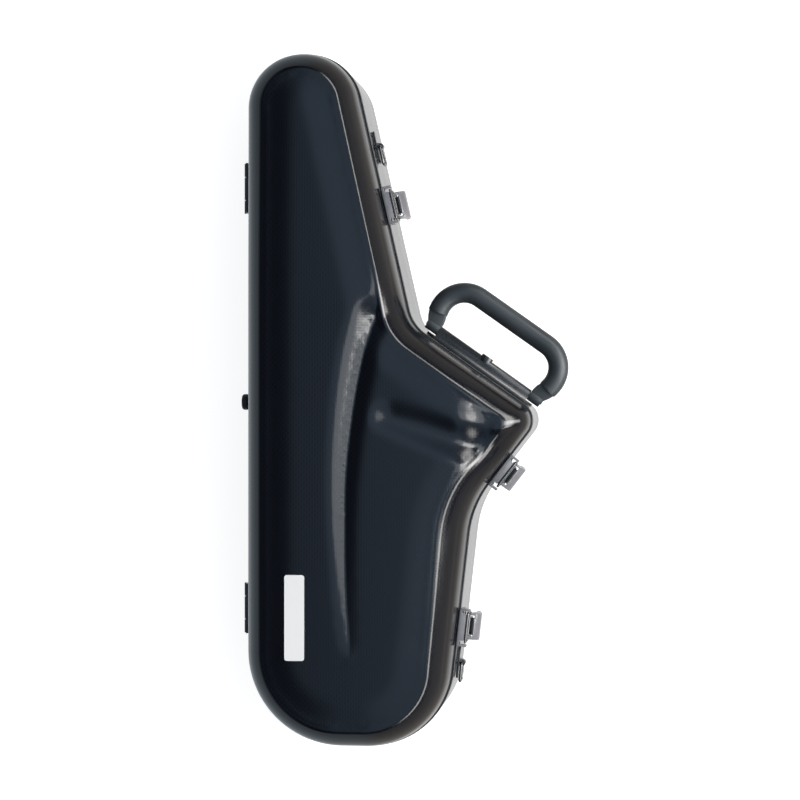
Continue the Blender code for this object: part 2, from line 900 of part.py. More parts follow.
def lever_outline(skin):
    """Side view of the lever about its pivot, as (out, up). With skin it is the pocket inside the cover."""
    face = lever_out - pivot_out - skin
    tip = -lever_length + skin
    if skin:
        return [
            (-overrun * 2, overrun * 2),
            (face * 0.45, ear_radius + skin / 2),
            (face, -0.12 * lever_length),
            (face, -0.36 * lever_length),
            (face * 0.55, tip),
            (face * 0.10, tip),
            (-overrun * 2, -0.36 * lever_length),
        ]
    return [
        (-ear_radius, 0.0),
        (-ear_radius * 0.7, ear_radius * 0.85),
        (ear_radius * 0.4, ear_radius * 1.15),
        (face * 0.55, ear_radius * 0.75),
        (face * 0.86, -0.04 * lever_length),
        (face, -0.14 * lever_length),
        (face, -0.38 * lever_length),
        (face * 0.70, tip * 0.985),
        (face * 0.45, tip),
        (face * 0.40, -0.55 * lever_length),
        (face * 0.16, -bail_drop - 2.7 * bail_wire_radius),
        (-bail_in, -bail_drop - 2.4 * bail_wire_radius),
        (-ear_radius, -bail_drop),
    ]


def build_latch(number, edge, share, materials, lid_axis):
    """Draw latch: keeper on the lid; bracket, lever, pin and wire bail on the base."""
    name = f"latch_{number}"
    frame = wall_frame(name + "_frame", edge, share, base_depth)
    keeper_frame = wall_frame(name + "_keeper_frame", edge, share, base_depth, lid_axis)
    build_keeper(name + "_keeper", materials["hardware"], keeper_frame)
    pivot = Vector((0, pivot_out, -pivot_drop))
    bail_pivot = pivot + Vector((0, -bail_in, -bail_drop))
    plate_middle = -bracket_top - bracket_height / 2
    plate = extruded(
        rectangle(gap, bracket_plate, plate_middle - bracket_height / 2, plate_middle + bracket_height / 2),
        bracket_width,
        "X",
    )
    bracket = new_object(name + "_bracket", plate, materials["hardware"], parent=frame)
    ear_outline = [
        (bracket_plate / 2, pivot.z - ear_radius * 1.8),
        (pivot_out + ear_radius * 0.7, pivot.z - ear_radius * 0.72),
        (pivot_out + ear_radius, pivot.z),
        (pivot_out + ear_radius * 0.7, pivot.z + ear_radius * 0.72),
        (pivot_out, pivot.z + ear_radius),
        (pivot_out - ear_radius * 0.7, pivot.z + ear_radius * 0.72),
        (bracket_plate / 2, pivot.z - ear_radius * 0.2),
    ]
    for side, word in ((-1, "left"), (1, "right")):
        middle = (side * (ear_spread - ear_thickness) / 2, 0, 0)
        ear_block = extruded(ear_outline, ear_thickness, "X", middle)
        ear = new_object(f"{name}_ear_{word}", ear_block, None, parent=frame)
        boolean(bracket, ear, "UNION")
    bore = new_object(
        name + "_ear_bore",
        extruded(circle(pivot_radius + gap, 12), bracket_width, "X"),
        None,
        pivot,
        frame,
    )
    boolean(bracket, bore, "DIFFERENCE")
    pin = extruded(circle(pivot_radius, 12), lever_width, "X")
    new_object(name + "_pin", pin, materials["steel"], pivot, frame)
    lever = new_object(
        name + "_lever", extruded(lever_outline(0.0), lever_width, "X"), materials["hardware"], pivot, frame
    )
    pocket_width = lever_width - 2 * lever_cheek
    pocket = new_object(
        name + "_lever_pocket", extruded(lever_outline(lever_skin), pocket_width, "X"), None, pivot, frame
    )
    boolean(lever, pocket, "DIFFERENCE")
    for part, place, radius in (
        ("pivot_bore", (0, 0, 0), pivot_radius + gap),
        ("bail_bore", bail_pivot - pivot, bail_wire_radius + gap),
    ):
        tool = new_object(
            f"{name}_{part}",
            extruded(circle(radius, 12), lever_width + overrun, "X", place),
            None,
            pivot,
            frame,
        )
        boolean(lever, tool, "DIFFERENCE")
    bar_level = keeper_shelf_level + gap + bail_wire_radius
    bar = Vector((0, bail_bar_out, bar_level)) - bail_pivot
    inner = lever_width / 2 - lever_cheek
    path = filleted_path(
        [
            (-inner, 0, 0),
            (-bail_half_span, 0, 0),
            (-bail_half_span, bar.y, bar.z),
            (bail_half_span, bar.y, bar.z),
            (bail_half_span, 0, 0),
            (inner, 0, 0),
        ],
        bail_corner,
        3,
    )
    new_object(name + "_bail", swept(path, bail_wire_radius, 8), materials["steel"], bail_pivot, frame)


def handle_arm(dip_degrees):
    """Centreline of the right arm in its own plane, from this far below the arc's centre to its top."""
    dip = math.radians(dip_degrees)
    points = []
    for k in range(handle_arc_steps + 1):
        angle = (math.pi / 2 + dip) * k / handle_arc_steps - dip
        across = handle_half_span - handle_arc_in + handle_arc_radius * math.cos(angle)
        points.append((across, handle_arc_out + handle_arc_radius * math.sin(angle)))
    return points


def handle_path(arm):
    """The bow's centreline from one arm's lower end to the other's."""
    return [Vector((-x, y, 0)) for x, y in arm] + [Vector((x, y, 0)) for x, y in reversed(arm)]


def below_arm(dip_degrees, radius, run):
    """Point at this radius from the arc's centre and this dip, moved down the arm's straight run."""
    dip = math.radians(dip_degrees)
    across = handle_half_span - handle_arc_in + radius * math.cos(dip) - run * math.sin(dip)
    return across, handle_arc_out - radius * math.sin(dip) - run * math.cos(dip)


def frame_tab_outline(side):
    """Flat tab of one arm, in the bow's plane: from the grip's end down to its eye."""
    inner = handle_arc_radius - frame_tab_width / 2
    outer = handle_arc_radius + frame_tab_width / 2
    run = grip_end_run + frame_tab_gap
    eye_left = handle_half_span - frame_eye_width / 2
    eye_right = handle_half_span + frame_eye_width / 2
    outline = [
        below_arm(grip_dip_degrees, inner, run),
        (eye_left, frame_tab_foot),
        (eye_left, 0.0),
        (eye_right, 0.0),
        (eye_right + frame_tab_foot / 2, frame_tab_foot),
        below_arm(grip_dip_degrees, outer, run),
    ]
    return [(side * x, y) for x, y in outline]


def build_handle(materials):
    """Folding handle: bracket on the base wall, rod through its barrel, bent frame and soft grip."""
    frame = wall_frame("handle_frame_axis", handle_edge, handle_edge_share, base_depth - handle_axis_drop)
    axis_place = Vector((0, handle_axis_out, 0))
    tall = handle_plate_height / 2
    taper = handle_plate_height / 4
    long = handle_plate_half_length
    plate_outline = [
        (-long, -tall + taper),
        (-long + taper, -tall),
        (long - taper, -tall),
        (long, -tall + taper),
        (long, tall - taper),
        (long - taper, tall),
        (-long + taper, tall),
        (-long, tall - taper),
    ]
    plate_middle = (0, (handle_plate_thickness + gap) / 2, 0)
    plate = extruded(plate_outline, handle_plate_thickness - gap, "Y", plate_middle)
    bracket = new_object("handle_bracket", plate, materials["hardware"], parent=frame)
    housing = [
        (handle_plate_thickness / 2, -handle_web_height),
        (handle_axis_out - handle_barrel_radius * 0.3, -handle_barrel_radius),
        (handle_axis_out + handle_barrel_radius * 0.4, -handle_barrel_radius * 0.92),
        (handle_axis_out + handle_barrel_radius * 0.85, -handle_barrel_radius * 0.5),
        (handle_axis_out + handle_barrel_radius, 0.0),
        (handle_axis_out + handle_barrel_radius * 0.85, handle_barrel_radius * 0.5),
        (handle_axis_out + handle_barrel_radius * 0.4, handle_barrel_radius * 0.92),
        (handle_axis_out - handle_barrel_radius * 0.3, handle_barrel_radius),
        (handle_plate_thickness / 2, handle_web_height),
    ]
    barrel = new_object(
        "handle_barrel", extruded(housing, 2 * handle_barrel_half_length, "X"), None, parent=frame
    )
    boolean(bracket, barrel, "UNION")
    bump_reach = handle_barrel_radius + handle_bump_out
    bump = new_object(
        "handle_bump",
        extruded(circle(handle_bump_width / 2, 12), bump_reach, "Y", (0, bump_reach / 2, 0)),
        None,
        axis_place,
        frame,
    )
    boolean(bracket, bump, "UNION")
    bore = new_object(
        "handle_bore",
        extruded(circle(handle_rod_radius + gap, 14), 2 * handle_plate_half_length + overrun, "X"),
        None,
        axis_place,
        frame,
    )
    boolean(bracket, bore, "DIFFERENCE")
    half_rod = handle_half_span + frame_eye_width / 2 + handle_end_washer
    rod = extruded(circle(handle_rod_radius, 14), 2 * half_rod, "X")
    new_object("handle_rod", rod, materials["steel"], axis_place, frame)
    arm = handle_arm(arm_dip_degrees)
    path = handle_path([(handle_half_span, 0.0)] + arm)
    bow = new_object("handle_frame", swept(path, frame_rod_radius, 8), materials["steel"], axis_place, frame)
    for side, word in ((-1, "left"), (1, "right")):
        middle = (side * handle_half_span, 0, 0)
        for part, outline, depth, along, place in (
            ("tab", frame_tab_outline(side), frame_tab_thickness, "Z", (0, 0, 0)),
            ("eye", circle(frame_eye_radius, 16), frame_eye_width, "X", middle),
        ):
            tool = new_object(
                f"handle_{part}_{word}", extruded(outline, depth, along, place), None, axis_place, frame
            )
            boolean(bow, tool, "UNION")
    eye_bore = new_object(
        "handle_eye_bore",
        extruded(circle(handle_rod_radius + gap, 14), 2 * half_rod + overrun, "X"),
        None,
        axis_place,
        frame,
    )
    boolean(bow, eye_bore, "DIFFERENCE")
    grip_end = below_arm(grip_dip_degrees, handle_arc_radius, grip_end_run)
    path = handle_path([grip_end] + handle_arm(grip_dip_degrees))
    grip = swept(path, grip_radius, 12, bore=grip_bore_radius)
    new_object("handle_grip", grip, materials["grip"], axis_place, frame)


def build_lug(number, edge, share, materials):
    """Strap lug on the base wall: plate with an upright bored boss, and the ring that swings in it."""
    name = f"strap_lug_{number}"
    frame = wall_frame(name + "_frame", edge, share, base_depth - lug_drop)
    outline = rounded_rectangle(lug_length, lug_height, lug_height * 0.3, 3)
    plate = extruded(outline, lug_plate - gap, "Y", (0, (lug_plate + gap) / 2, 0))
    lug = new_object(name, plate, materials["hardware"], parent=frame)
    boss_outline = [
        (-lug_boss_radius * 1.3, lug_plate / 2),
        (lug_boss_radius * 1.3, lug_plate / 2),
        (lug_boss_radius, lug_axis_out),
        (lug_boss_radius * 0.68, lug_axis_out + lug_boss_radius * 0.75),
        (0.0, lug_axis_out + lug_boss_radius),
        (-lug_boss_radius * 0.68, lug_axis_out + lug_boss_radius * 0.75),
        (-lug_boss_radius, lug_axis_out),
    ]
    boss = new_object(name + "_boss", extruded(boss_outline, lug_boss_height), None, parent=frame)
    boolean(lug, boss, "UNION")
    axis_place = Vector((0, lug_axis_out, 0))
    bore = new_object(
        name + "_bore",
        extruded(circle(lug_ring_wire + gap, 12), lug_boss_height + overrun),
        None,
        axis_place,
        frame,
    )
    boolean(lug, bore, "DIFFERENCE")
    half = lug_ring_half_height
    corners = [(0, 0, -half), (lug_ring_reach, 0, -half), (lug_ring_reach, 0, half), (0, 0, half)]
    path = filleted_path(corners, lug_ring_corner / 2, 3, closed=True)
    ring = swept(path, lug_ring_wire, 8, closed=True)
    new_object(f"strap_ring_{number}", ring, materials["steel"], axis_place, frame)


def recess(name, shares, floor, top):
    """Cutter for one recess: the outline drawn in toward a rounded floor."""
    radius = recess_corner_radius
    bm = bmesh.new()
    rows = []
    for k in range(recess_corner_steps + 1):
        angle = math.pi / 2 * k / recess_corner_steps
        rows.append((radius * (1 - math.sin(angle)), floor + radius * (1 - math.cos(angle))))
    rows.append((0.0, top + overrun))
    rings = [ring_vertices(bm, rounded_outline(shares, inset), height) for inset, height in rows]
    for lower, upper in zip(rings, rings[1:]):
        band(bm, lower, upper)
    bm.faces.new(rings[0])
    bm.faces.new(rings[-1])
    return new_object(name, bm, None)


def build_base_liner(material):
    """Foam block that fills the base, with recesses for the body, the bow and bell, and the mouthpiece."""
    top = base_depth - liner_top_drop
    radius = base_liner_corner_radius
    bm = bmesh.new()
    rings = [
        ring_vertices(bm, case_ring(inset), height)
        for inset, height in tub_rings(liner_inset, liner_inset, wall + liner_gap, radius, top)
    ]
    for lower, upper in zip(rings, rings[1:]):
        band(bm, lower, upper)
    bm.faces.new(rings[0])
    bm.faces.new(rings[-1])
    liner = new_object("base_liner", bm, material)
    for name, shares, floor in (
        ("body_recess", body_recess_shares, body_recess_floor),
        ("bell_recess", bell_recess_shares, bell_recess_floor),
        ("mouthpiece_recess", mouthpiece_recess_shares, mouthpiece_recess_floor),
    ):
        boolean(liner, recess(name, shares, floor, top), "DIFFERENCE")


def build_case():
    clear_scene()
    shell = new_material("black_carbon_shell", (0.012, 0.014, 0.018), 0.28)
    rim_black = new_material("black_rim", (0.015, 0.015, 0.017), 0.35)
    rubber = new_material("black_rubber", (0.02, 0.02, 0.02), 0.8)
    white = new_material("white_plate", (0.85, 0.85, 0.85), 0.4)
    foam = new_material("grey_foam_cloth", (0.06, 0.065, 0.075), 0.95)
    materials = {
        "hardware": new_material("black_hardware", (0.02, 0.02, 0.022), 0.35, 0.6),
        "steel": new_material("dark_steel", (0.20, 0.20, 0.21), 0.3, 1.0),
        "grip": new_material("slate_grip", (0.04, 0.05, 0.058), 0.6),
    }
    lid_axis = bpy.data.objects.new("lid_axis", None)
    lid_axis.location = (-case_width / 2 - hinge_axis_out, 0, base_depth)
    bpy.context.scene.collection.objects.link(lid_axis)
    build_base_shell(shell)
    dome("lid_shell", 0.0, 0.0, wall, lid_rim_height + gap, shell, lid_axis)
    build_rims(rim_black, rim_black, rubber, lid_axis)
    build_badge(white, lid_axis)
    for number, share in enumerate(hinge_place_shares, 1):
        build_hinge(number, share * case_length, materials["hardware"], materials["steel"], lid_axis)
    build_foot(rubber)
    for number, (edge, share) in enumerate(latch_edge_shares, 1):
        build_latch(number, edge, share, materials, lid_axis)
    build_handle(materials)
    for number, (edge, share) in enumerate(lug_edge_shares, 1):
        build_lug(number, edge, share, materials)
    build_base_liner(foam)
    liner_drop = wall + lid_liner_top_gap
    dome("lid_liner", lid_liner_inset, liner_drop, lid_liner_thickness, lid_liner_level, foam, lid_axis)


build_case()
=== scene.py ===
"""Looks of the alto saxophone case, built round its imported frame."""

import math

import bmesh
import bpy
import numpy as np
from mathutils import Matrix, Vector, noise
from mathutils.geometry import delaunay_2d_cdt
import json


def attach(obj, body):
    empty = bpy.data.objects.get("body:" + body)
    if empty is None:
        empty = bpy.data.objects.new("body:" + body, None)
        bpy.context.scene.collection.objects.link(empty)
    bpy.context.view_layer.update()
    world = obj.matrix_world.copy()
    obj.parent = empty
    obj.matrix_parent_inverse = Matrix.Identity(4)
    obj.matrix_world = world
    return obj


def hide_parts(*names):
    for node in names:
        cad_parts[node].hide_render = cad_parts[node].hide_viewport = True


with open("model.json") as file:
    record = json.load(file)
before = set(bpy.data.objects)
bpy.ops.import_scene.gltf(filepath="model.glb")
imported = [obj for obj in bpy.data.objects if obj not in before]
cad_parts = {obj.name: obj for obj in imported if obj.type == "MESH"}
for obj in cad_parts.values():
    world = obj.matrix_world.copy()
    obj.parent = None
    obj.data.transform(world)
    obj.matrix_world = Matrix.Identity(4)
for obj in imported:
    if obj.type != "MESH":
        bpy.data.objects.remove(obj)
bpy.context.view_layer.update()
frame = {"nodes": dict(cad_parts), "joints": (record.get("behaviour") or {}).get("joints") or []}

joints = {joint["name"]: joint for joint in frame["joints"]}

# Sizes that the frame's source has too, in metres
case_length = 0.650
case_width = 0.267
base_depth = 0.112
lid_height = 0.062
wall = 0.003
gap = 0.0003
outline_shares = (
    (-0.500, 0.500, 0.199),
    (-0.500, -0.500, 0.341),
    (0.195, -0.500, 0.300),
    (0.291, -0.152, 0.352),
    (0.532, -0.0240, 0.070),
    (0.0805, 0.1075, 0.141),
    (-0.1375, 0.500, 0.199),
)
base_draft = 0.0004
base_corner_radius = 0.014
rim_flange = 0.0025
seam_half_gap = 0.0005
lid_rim_height = 0.0134
crest_inset = 0.0195
wall_profile_shares = ((0.0, 0.0), (0.05, 0.19), (0.16, 0.43), (0.40, 0.69), (0.70, 0.88), (1.0, 1.0))
neck_fall = 0.008
neck_fall_start_share = 0.12
bow_fall = 0.004
bow_fall_start_share = 0.26
crown_rise = 0.0022
crown_reach = 0.030
groove_left_width = 0.022
groove_right_width = 0.018
groove_right_power = 1.5
bell_groove_start_shares = (0.020, -0.0237)
bell_groove_end_shares = (0.370, -0.0731)
bell_groove_start_depth_share = 0.45
bell_groove_half_width = 0.019
bell_groove_start_width_share = 0.85
bell_groove_widening_share = 0.35
bell_groove_power = 2.0
lid_liner_inset = 0.0053
lid_liner_drop = 0.0050
lid_liner_thickness = 0.0080
lid_liner_level = 0.0046

# Forms set on the photograph: the frame's source has them otherwise, or not at all
crease_shares = (
    (0.148, 0.004),
    (0.095, -0.0472),
    (0.030, -0.0850),
    (-0.035, -0.1100),
    (-0.1155, -0.1285),
    (-0.186, -0.1306),
    (-0.276, -0.1260),
    (-0.367, -0.1106),
)
groove_slope = 0.375
groove_start_share = 0.045
groove_end_share = 0.94
groove_narrowing = 0.85
groove_left_power = 1.12
valley_share = 0.40
bell_groove_depth = 0.0075
bell_tip_fall = 0.0068
bell_tip_from = 0.0690
bell_tip_to = 0.0930
seam_ledge = 0.0016
least_corner_radius = 0.0100
wall_width_y = (-0.260, -0.188, -0.132, -0.105, -0.080, -0.062, -0.045, -0.030, 0.070, 0.110, 0.280, 0.312)
wall_width_share = (1.0, 1.08, 1.18, 1.20, 1.18, 1.12, 1.06, 1.0, 1.0, 0.84, 0.84, 1.0)
right_side_from = -0.090
right_side_run = 0.030

# Closed sections run round the seam, as (inset, height above the seam)
base_rim_section = (
    (0.0, -0.0028), (-0.0002, -0.0024), (-0.0002, -0.0010), (0.0004, -0.0005), (0.0020, -0.0005),
    (0.0020, -0.0019), (0.0036, -0.0019), (0.0036, -0.0005), (0.0050, -0.0005), (0.0050, 0.0037),
    (0.0053, 0.0040), (0.0061, 0.0040), (0.0064, 0.0037), (0.0064, -0.0150), (0.0037, -0.0150),
    (0.0037, -0.0030), (0.0003, -0.0030),
)
lid_rim_section = (
    (0.0020, 0.0005), (0.0016, 0.0009), (0.0016, 0.0120), (0.0014, 0.0124), (0.0014, 0.0130),
    (0.0016, 0.0134), (0.0037, 0.0134), (0.0037, 0.0164), (0.0047, 0.0164), (0.0047, 0.0005),
)
gasket_section = (
    (0.0023, -0.0016), (0.0023, -0.0005), (0.0026, -0.0001),
    (0.0030, -0.0001), (0.0033, -0.0005), (0.0033, -0.0016),
)

# Fineness of the shells
arc_step = math.radians(4)
least_arc_steps = 3
corner_room_share = 0.99
line_step = 0.008
base_corner_steps = 8
profile_rounds = 3
crest_row_share = 0.030
crest_steps = (0.0008, 0.0016, 0.0025, 0.0036, 0.0049)
crest_rounds = 6
eased_height_share = 0.72
top_spacing = 0.0030
liner_spacing = 0.0060
row_pitch_share = 0.87
crease_pitch_share = 0.6
crease_lines = (0, -0.0012, 0.0012, -0.0027, 0.0027)
crease_band = 0.0043
line_clearance = 0.0009
grid_clearance = 0.0014
merge_distance = 0.00002


# Outline and contour, in finer steps than the frame's solids

def smooth(value):
    value = np.clip(value, 0, 1)
    return value * value * (3 - 2 * value)


def rounded_outline(shares, inset=0.0, step=arc_step, spacing=line_step):
    """Ring of plan points, counter-clockwise, moved in by inset. Its count doesn't depend on the inset."""
    corners = [Vector((x * case_width, y * case_length)) for x, y, _ in shares]
    radii = [radius * case_width for _, _, radius in shares]
    count = len(corners)
    directions = [(corners[(i + 1) % count] - corners[i]).normalized() for i in range(count)]
    turns = []
    for i in range(count):
        before = directions[i - 1]
        turns.append(math.atan2(before.cross(directions[i]), before.dot(directions[i])))
    for i in range(count):
        after = (i + 1) % count
        room = (corners[after] - corners[i]).length * corner_room_share
        used = sum(radii[k] * math.tan(abs(turns[k]) / 2) for k in (i, after))
        if used > room:
            radii[i] *= room / used
            radii[after] *= room / used
    arcs = []
    for i in range(count):
        before = Vector((-directions[i - 1].y, directions[i - 1].x))
        after = Vector((-directions[i].y, directions[i].x))
        side = math.copysign(1, turns[i])
        corner = corners[i] + (before + after) * inset / (1 + before.dot(after))
        radius = max(radii[i] - side * inset, least_corner_radius)
        start = corner - directions[i - 1] * radius * math.tan(abs(turns[i]) / 2)
        centre = start + before * side * radius
        steps = max(least_arc_steps, round(abs(turns[i]) / step))
        spokes = [Matrix.Rotation(turns[i] * k / steps, 2) @ (start - centre) for k in range(steps + 1)]
        arcs.append([centre + spoke for spoke in spokes])
    ring = []
    for i in range(count):
        edge = corners[(i + 1) % count] - corners[i]
        steps = max(1, round(edge.length / spacing / 2))
        ring += arcs[i]
        last, first = arcs[i][-1], arcs[(i + 1) % count][0]
        ring += [last.lerp(first, k / steps) for k in range(1, steps)]
    return ring


def edge_distance(x, y):
    """Distance from plan points inside the case to the outline at the seam."""
    ring = np.array([tuple(p) for p in rounded_outline(outline_shares)])
    along = np.roll(ring, -1, axis=0) - ring
    nearest = np.full(np.shape(x), np.inf)
    for place, run in zip(ring, along):
        share = np.clip(((x - place[0]) * run[0] + (y - place[1]) * run[1]) / (run @ run), 0, 1)
        away = np.hypot(x - place[0] - share * run[0], y - place[1] - share * run[1])
        nearest = np.minimum(nearest, away)
    return nearest


def crease_place(y):
    """x of the long groove's crease at y, and how far down the groove y is, from 0 to 1."""
    rows = np.array(crease_shares)
    knots_y = rows[::-1, 0] * case_length
    knots_x = rows[::-1, 1] * case_width
    slopes = np.gradient(knots_x, knots_y)
    cell = np.clip(np.searchsorted(knots_y, y) - 1, 0, len(knots_y) - 2)
    span = knots_y[cell + 1] - knots_y[cell]
    u = (y - knots_y[cell]) / span
    inside = np.clip(u, 0, 1)
    value = (
        knots_x[cell] * (2 * inside**3 - 3 * inside**2 + 1)
        + slopes[cell] * span * (inside**3 - 2 * inside**2 + inside)
        + knots_x[cell + 1] * (3 * inside**2 - 2 * inside**3)
        + slopes[cell + 1] * span * (inside**3 - inside**2)
    )
    value = value + np.minimum(u, 0) * span * slopes[cell]
    value = value + np.maximum(u - 1, 0) * span * slopes[cell + 1]
    return value, (knots_y[-1] - y) / (knots_y[-1] - knots_y[0])


def groove_width(full_width, down):
    """Width of one side of the long groove, which narrows toward the bow."""
    return full_width * (1 - groove_narrowing * np.clip(down, 0, 1))


def lid_top(x, y):
    """Height above the seam of the lid's outer face at plan points, from the crest inward."""
    x = np.asarray(x, float)
    y = np.asarray(y, float)
    half = case_length / 2
    to_neck = (y - neck_fall_start_share * case_length) / (half - neck_fall_start_share * case_length)
    to_bow = (-y - bow_fall_start_share * case_length) / (half - bow_fall_start_share * case_length)
    height = lid_height - neck_fall * smooth(to_neck) - bow_fall * smooth(to_bow)
    height = height - crown_rise * (1 - smooth((edge_distance(x, y) - crest_inset) / crown_reach))
    height = height - bell_tip_fall * smooth((x - bell_tip_from) / (bell_tip_to - bell_tip_from))
    crease, down = crease_place(y)
    depth = groove_slope * groove_width(groove_left_width, down) * smooth(down / groove_start_share)
    depth = depth * (1 - smooth((down - groove_end_share) / (1 - groove_end_share)))
    offset = x - crease
    left = np.clip(1 + offset / groove_width(groove_left_width, down), 0, 1) ** groove_left_power
    right = np.clip(1 - offset / groove_width(groove_right_width, down), 0, 1) ** groove_right_power
    height = height - depth * np.where(offset < 0, left, 1 - valley_share + valley_share * right)
    start = np.array(bell_groove_start_shares) * (case_width, case_length)
    end = np.array(bell_groove_end_shares) * (case_width, case_length)
    length = np.linalg.norm(end - start)
    axis = (end - start) / length
    along = np.maximum((x - start[0]) * axis[0] + (y - start[1]) * axis[1], 0)
    side = np.hypot(x - start[0] - along * axis[0], y - start[1] - along * axis[1])
    spread_share = bell_groove_start_width_share + bell_groove_widening_share * along / length
    deepening_share = (1 - bell_groove_start_depth_share) * smooth(along / length)
    depth = bell_groove_depth * (bell_groove_start_depth_share + deepening_share)
    near = np.clip(1 - (side / (bell_groove_half_width * spread_share)) ** 2, 0, 1)
    return height - depth * near**bell_groove_power


# Material building blocks

def shader_group(name, inputs, outputs):
    """An empty node group with named inputs (label, kind, value) and outputs (label, kind)."""
    tree = bpy.data.node_groups.new(name, "ShaderNodeTree")
    for label, kind, value in inputs:
        socket = tree.interface.new_socket(label, in_out="INPUT", socket_type=kind)
        if value is not None:
            socket.default_value = value
    for label, kind in outputs:
        tree.interface.new_socket(label, in_out="OUTPUT", socket_type=kind)
    return tree, tree.nodes.new("NodeGroupInput"), tree.nodes.new("NodeGroupOutput")


def plug(tree, socket, value):
    if isinstance(value, bpy.types.NodeSocket):
        tree.links.new(value, socket)
    elif value is not None:
        socket.default_value = value


def sums(tree, operation, first, second=None, third=None):
    node = tree.nodes.new("ShaderNodeMath")
    node.operation = operation
    for socket, value in zip(node.inputs, (first, second, third)):
        plug(tree, socket, value)
    return node.outputs[0]


def product(tree, first, *others):
    for other in others:
        first = sums(tree, "MULTIPLY", first, other)
    return first


def noise_value(tree, place, scale, detail=3.0, roughness=0.5):
    node = tree.nodes.new("ShaderNodeTexNoise")
    plug(tree, node.inputs["Vector"], place)
    plug(tree, node.inputs["Scale"], scale)
    node.inputs["Detail"].default_value = detail
    node.inputs["Roughness"].default_value = roughness
    return node.outputs["Fac"]


def blended(tree, factor, first, second):
    """Colour between two colours."""
    node = tree.nodes.new("ShaderNodeMix")
    node.data_type = "RGBA"
    plug(tree, node.inputs[0], factor)
    for socket, value in ((node.inputs[6], first), (node.inputs[7], second)):
        plug(tree, socket, (*value, 1) if isinstance(value, tuple) else value)
    return node.outputs[2]


def ranged(tree, value, low, high, to_low, to_high):
    node = tree.nodes.new("ShaderNodeMapRange")
    for socket, part in zip(node.inputs, (value, low, high, to_low, to_high)):
        plug(tree, socket, part)
    return node.outputs[0]


def make_weave():
    """Plain weave of flat threads: height and which thread is on top."""
    thread_dip = 0.45
    tree, given, result = shader_group(
        "plain_weave",
        [("Place", "NodeSocketVector", None), ("Threads per metre", "NodeSocketFloat", 500.0)],
        [("Height", "NodeSocketFloat"), ("Thread", "NodeSocketFloat")],
    )
    split = tree.nodes.new("ShaderNodeSeparateXYZ")
    tree.links.new(given.outputs["Place"], split.inputs[0])
    rate = given.outputs["Threads per metre"]
    across, down = (product(tree, split.outputs[k], rate) for k in (0, 1))
    cell = sums(tree, "ADD", sums(tree, "FLOOR", across), sums(tree, "FLOOR", down))
    parity = sums(tree, "FLOORED_MODULO", cell, 2.0)
    waves = [sums(tree, "SINE", product(tree, sums(tree, "FRACT", v), math.pi)) for v in (across, down)]
    crowns = [sums(tree, "MULTIPLY_ADD", wave, thread_dip, 1 - thread_dip) for wave in waves]
    warp, weft = product(tree, waves[0], crowns[1]), product(tree, waves[1], crowns[0])
    top = product(tree, warp, sums(tree, "SUBTRACT", 1.0, parity))
    plug(tree, result.inputs["Height"], sums(tree, "MULTIPLY_ADD", weft, parity, top))
    plug(tree, result.inputs["Thread"], parity)
    return tree


def make_grain():
    """Fine moulded grain with slow variation: height, and a mask of handling marks."""
    tree, given, result = shader_group(
        "moulded_grain",
        [
            ("Place", "NodeSocketVector", None),
            ("Grain per metre", "NodeSocketFloat", 1400.0),
            ("Marks per metre", "NodeSocketFloat", 28.0),
        ],
        [("Height", "NodeSocketFloat"), ("Marks", "NodeSocketFloat")],
    )
    place = given.outputs["Place"]
    plug(tree, result.inputs["Height"], noise_value(tree, place, given.outputs["Grain per metre"], 2.0))
    slow = noise_value(tree, place, given.outputs["Marks per metre"], 6.0, 0.62)
    plug(tree, result.inputs["Marks"], ranged(tree, slow, 0.38, 0.68, 0.0, 1.0))
    return tree


weave_group = make_weave()
grain_group = make_grain()


def placed_group(tree, group, place, **values):
    node = tree.nodes.new("ShaderNodeGroup")
    node.node_tree = group
    tree.links.new(place, node.inputs["Place"])
    for label, value in values.items():
        node.inputs[label.replace("_", " ")].default_value = value
    return node


def finish_material(name, colour, roughness, sockets=()):
    """A material with its constants on the shader, and the tools to go on: tree, shader, object place."""
    material = bpy.data.materials.new(name)
    material.use_nodes = True
    tree = material.node_tree
    shader = tree.nodes["Principled BSDF"]
    shader.inputs["Base Color"].default_value = (*colour, 1)
    shader.inputs["Roughness"].default_value = roughness
    for label, value in sockets:
        shader.inputs[label].default_value = value
    place = tree.nodes.new("ShaderNodeTexCoord").outputs["Object"]
    return material, tree, shader, place


def bumped(tree, shader, height, distance, strength=1.0, under=None):
    node = tree.nodes.new("ShaderNodeBump")
    node.inputs["Strength"].default_value = strength
    node.inputs["Distance"].default_value = distance
    tree.links.new(height, node.inputs["Height"])
    if under:
        tree.links.new(under, node.inputs["Normal"])
    tree.links.new(node.outputs["Normal"], shader.inputs["Normal"])
    return node.outputs["Normal"]


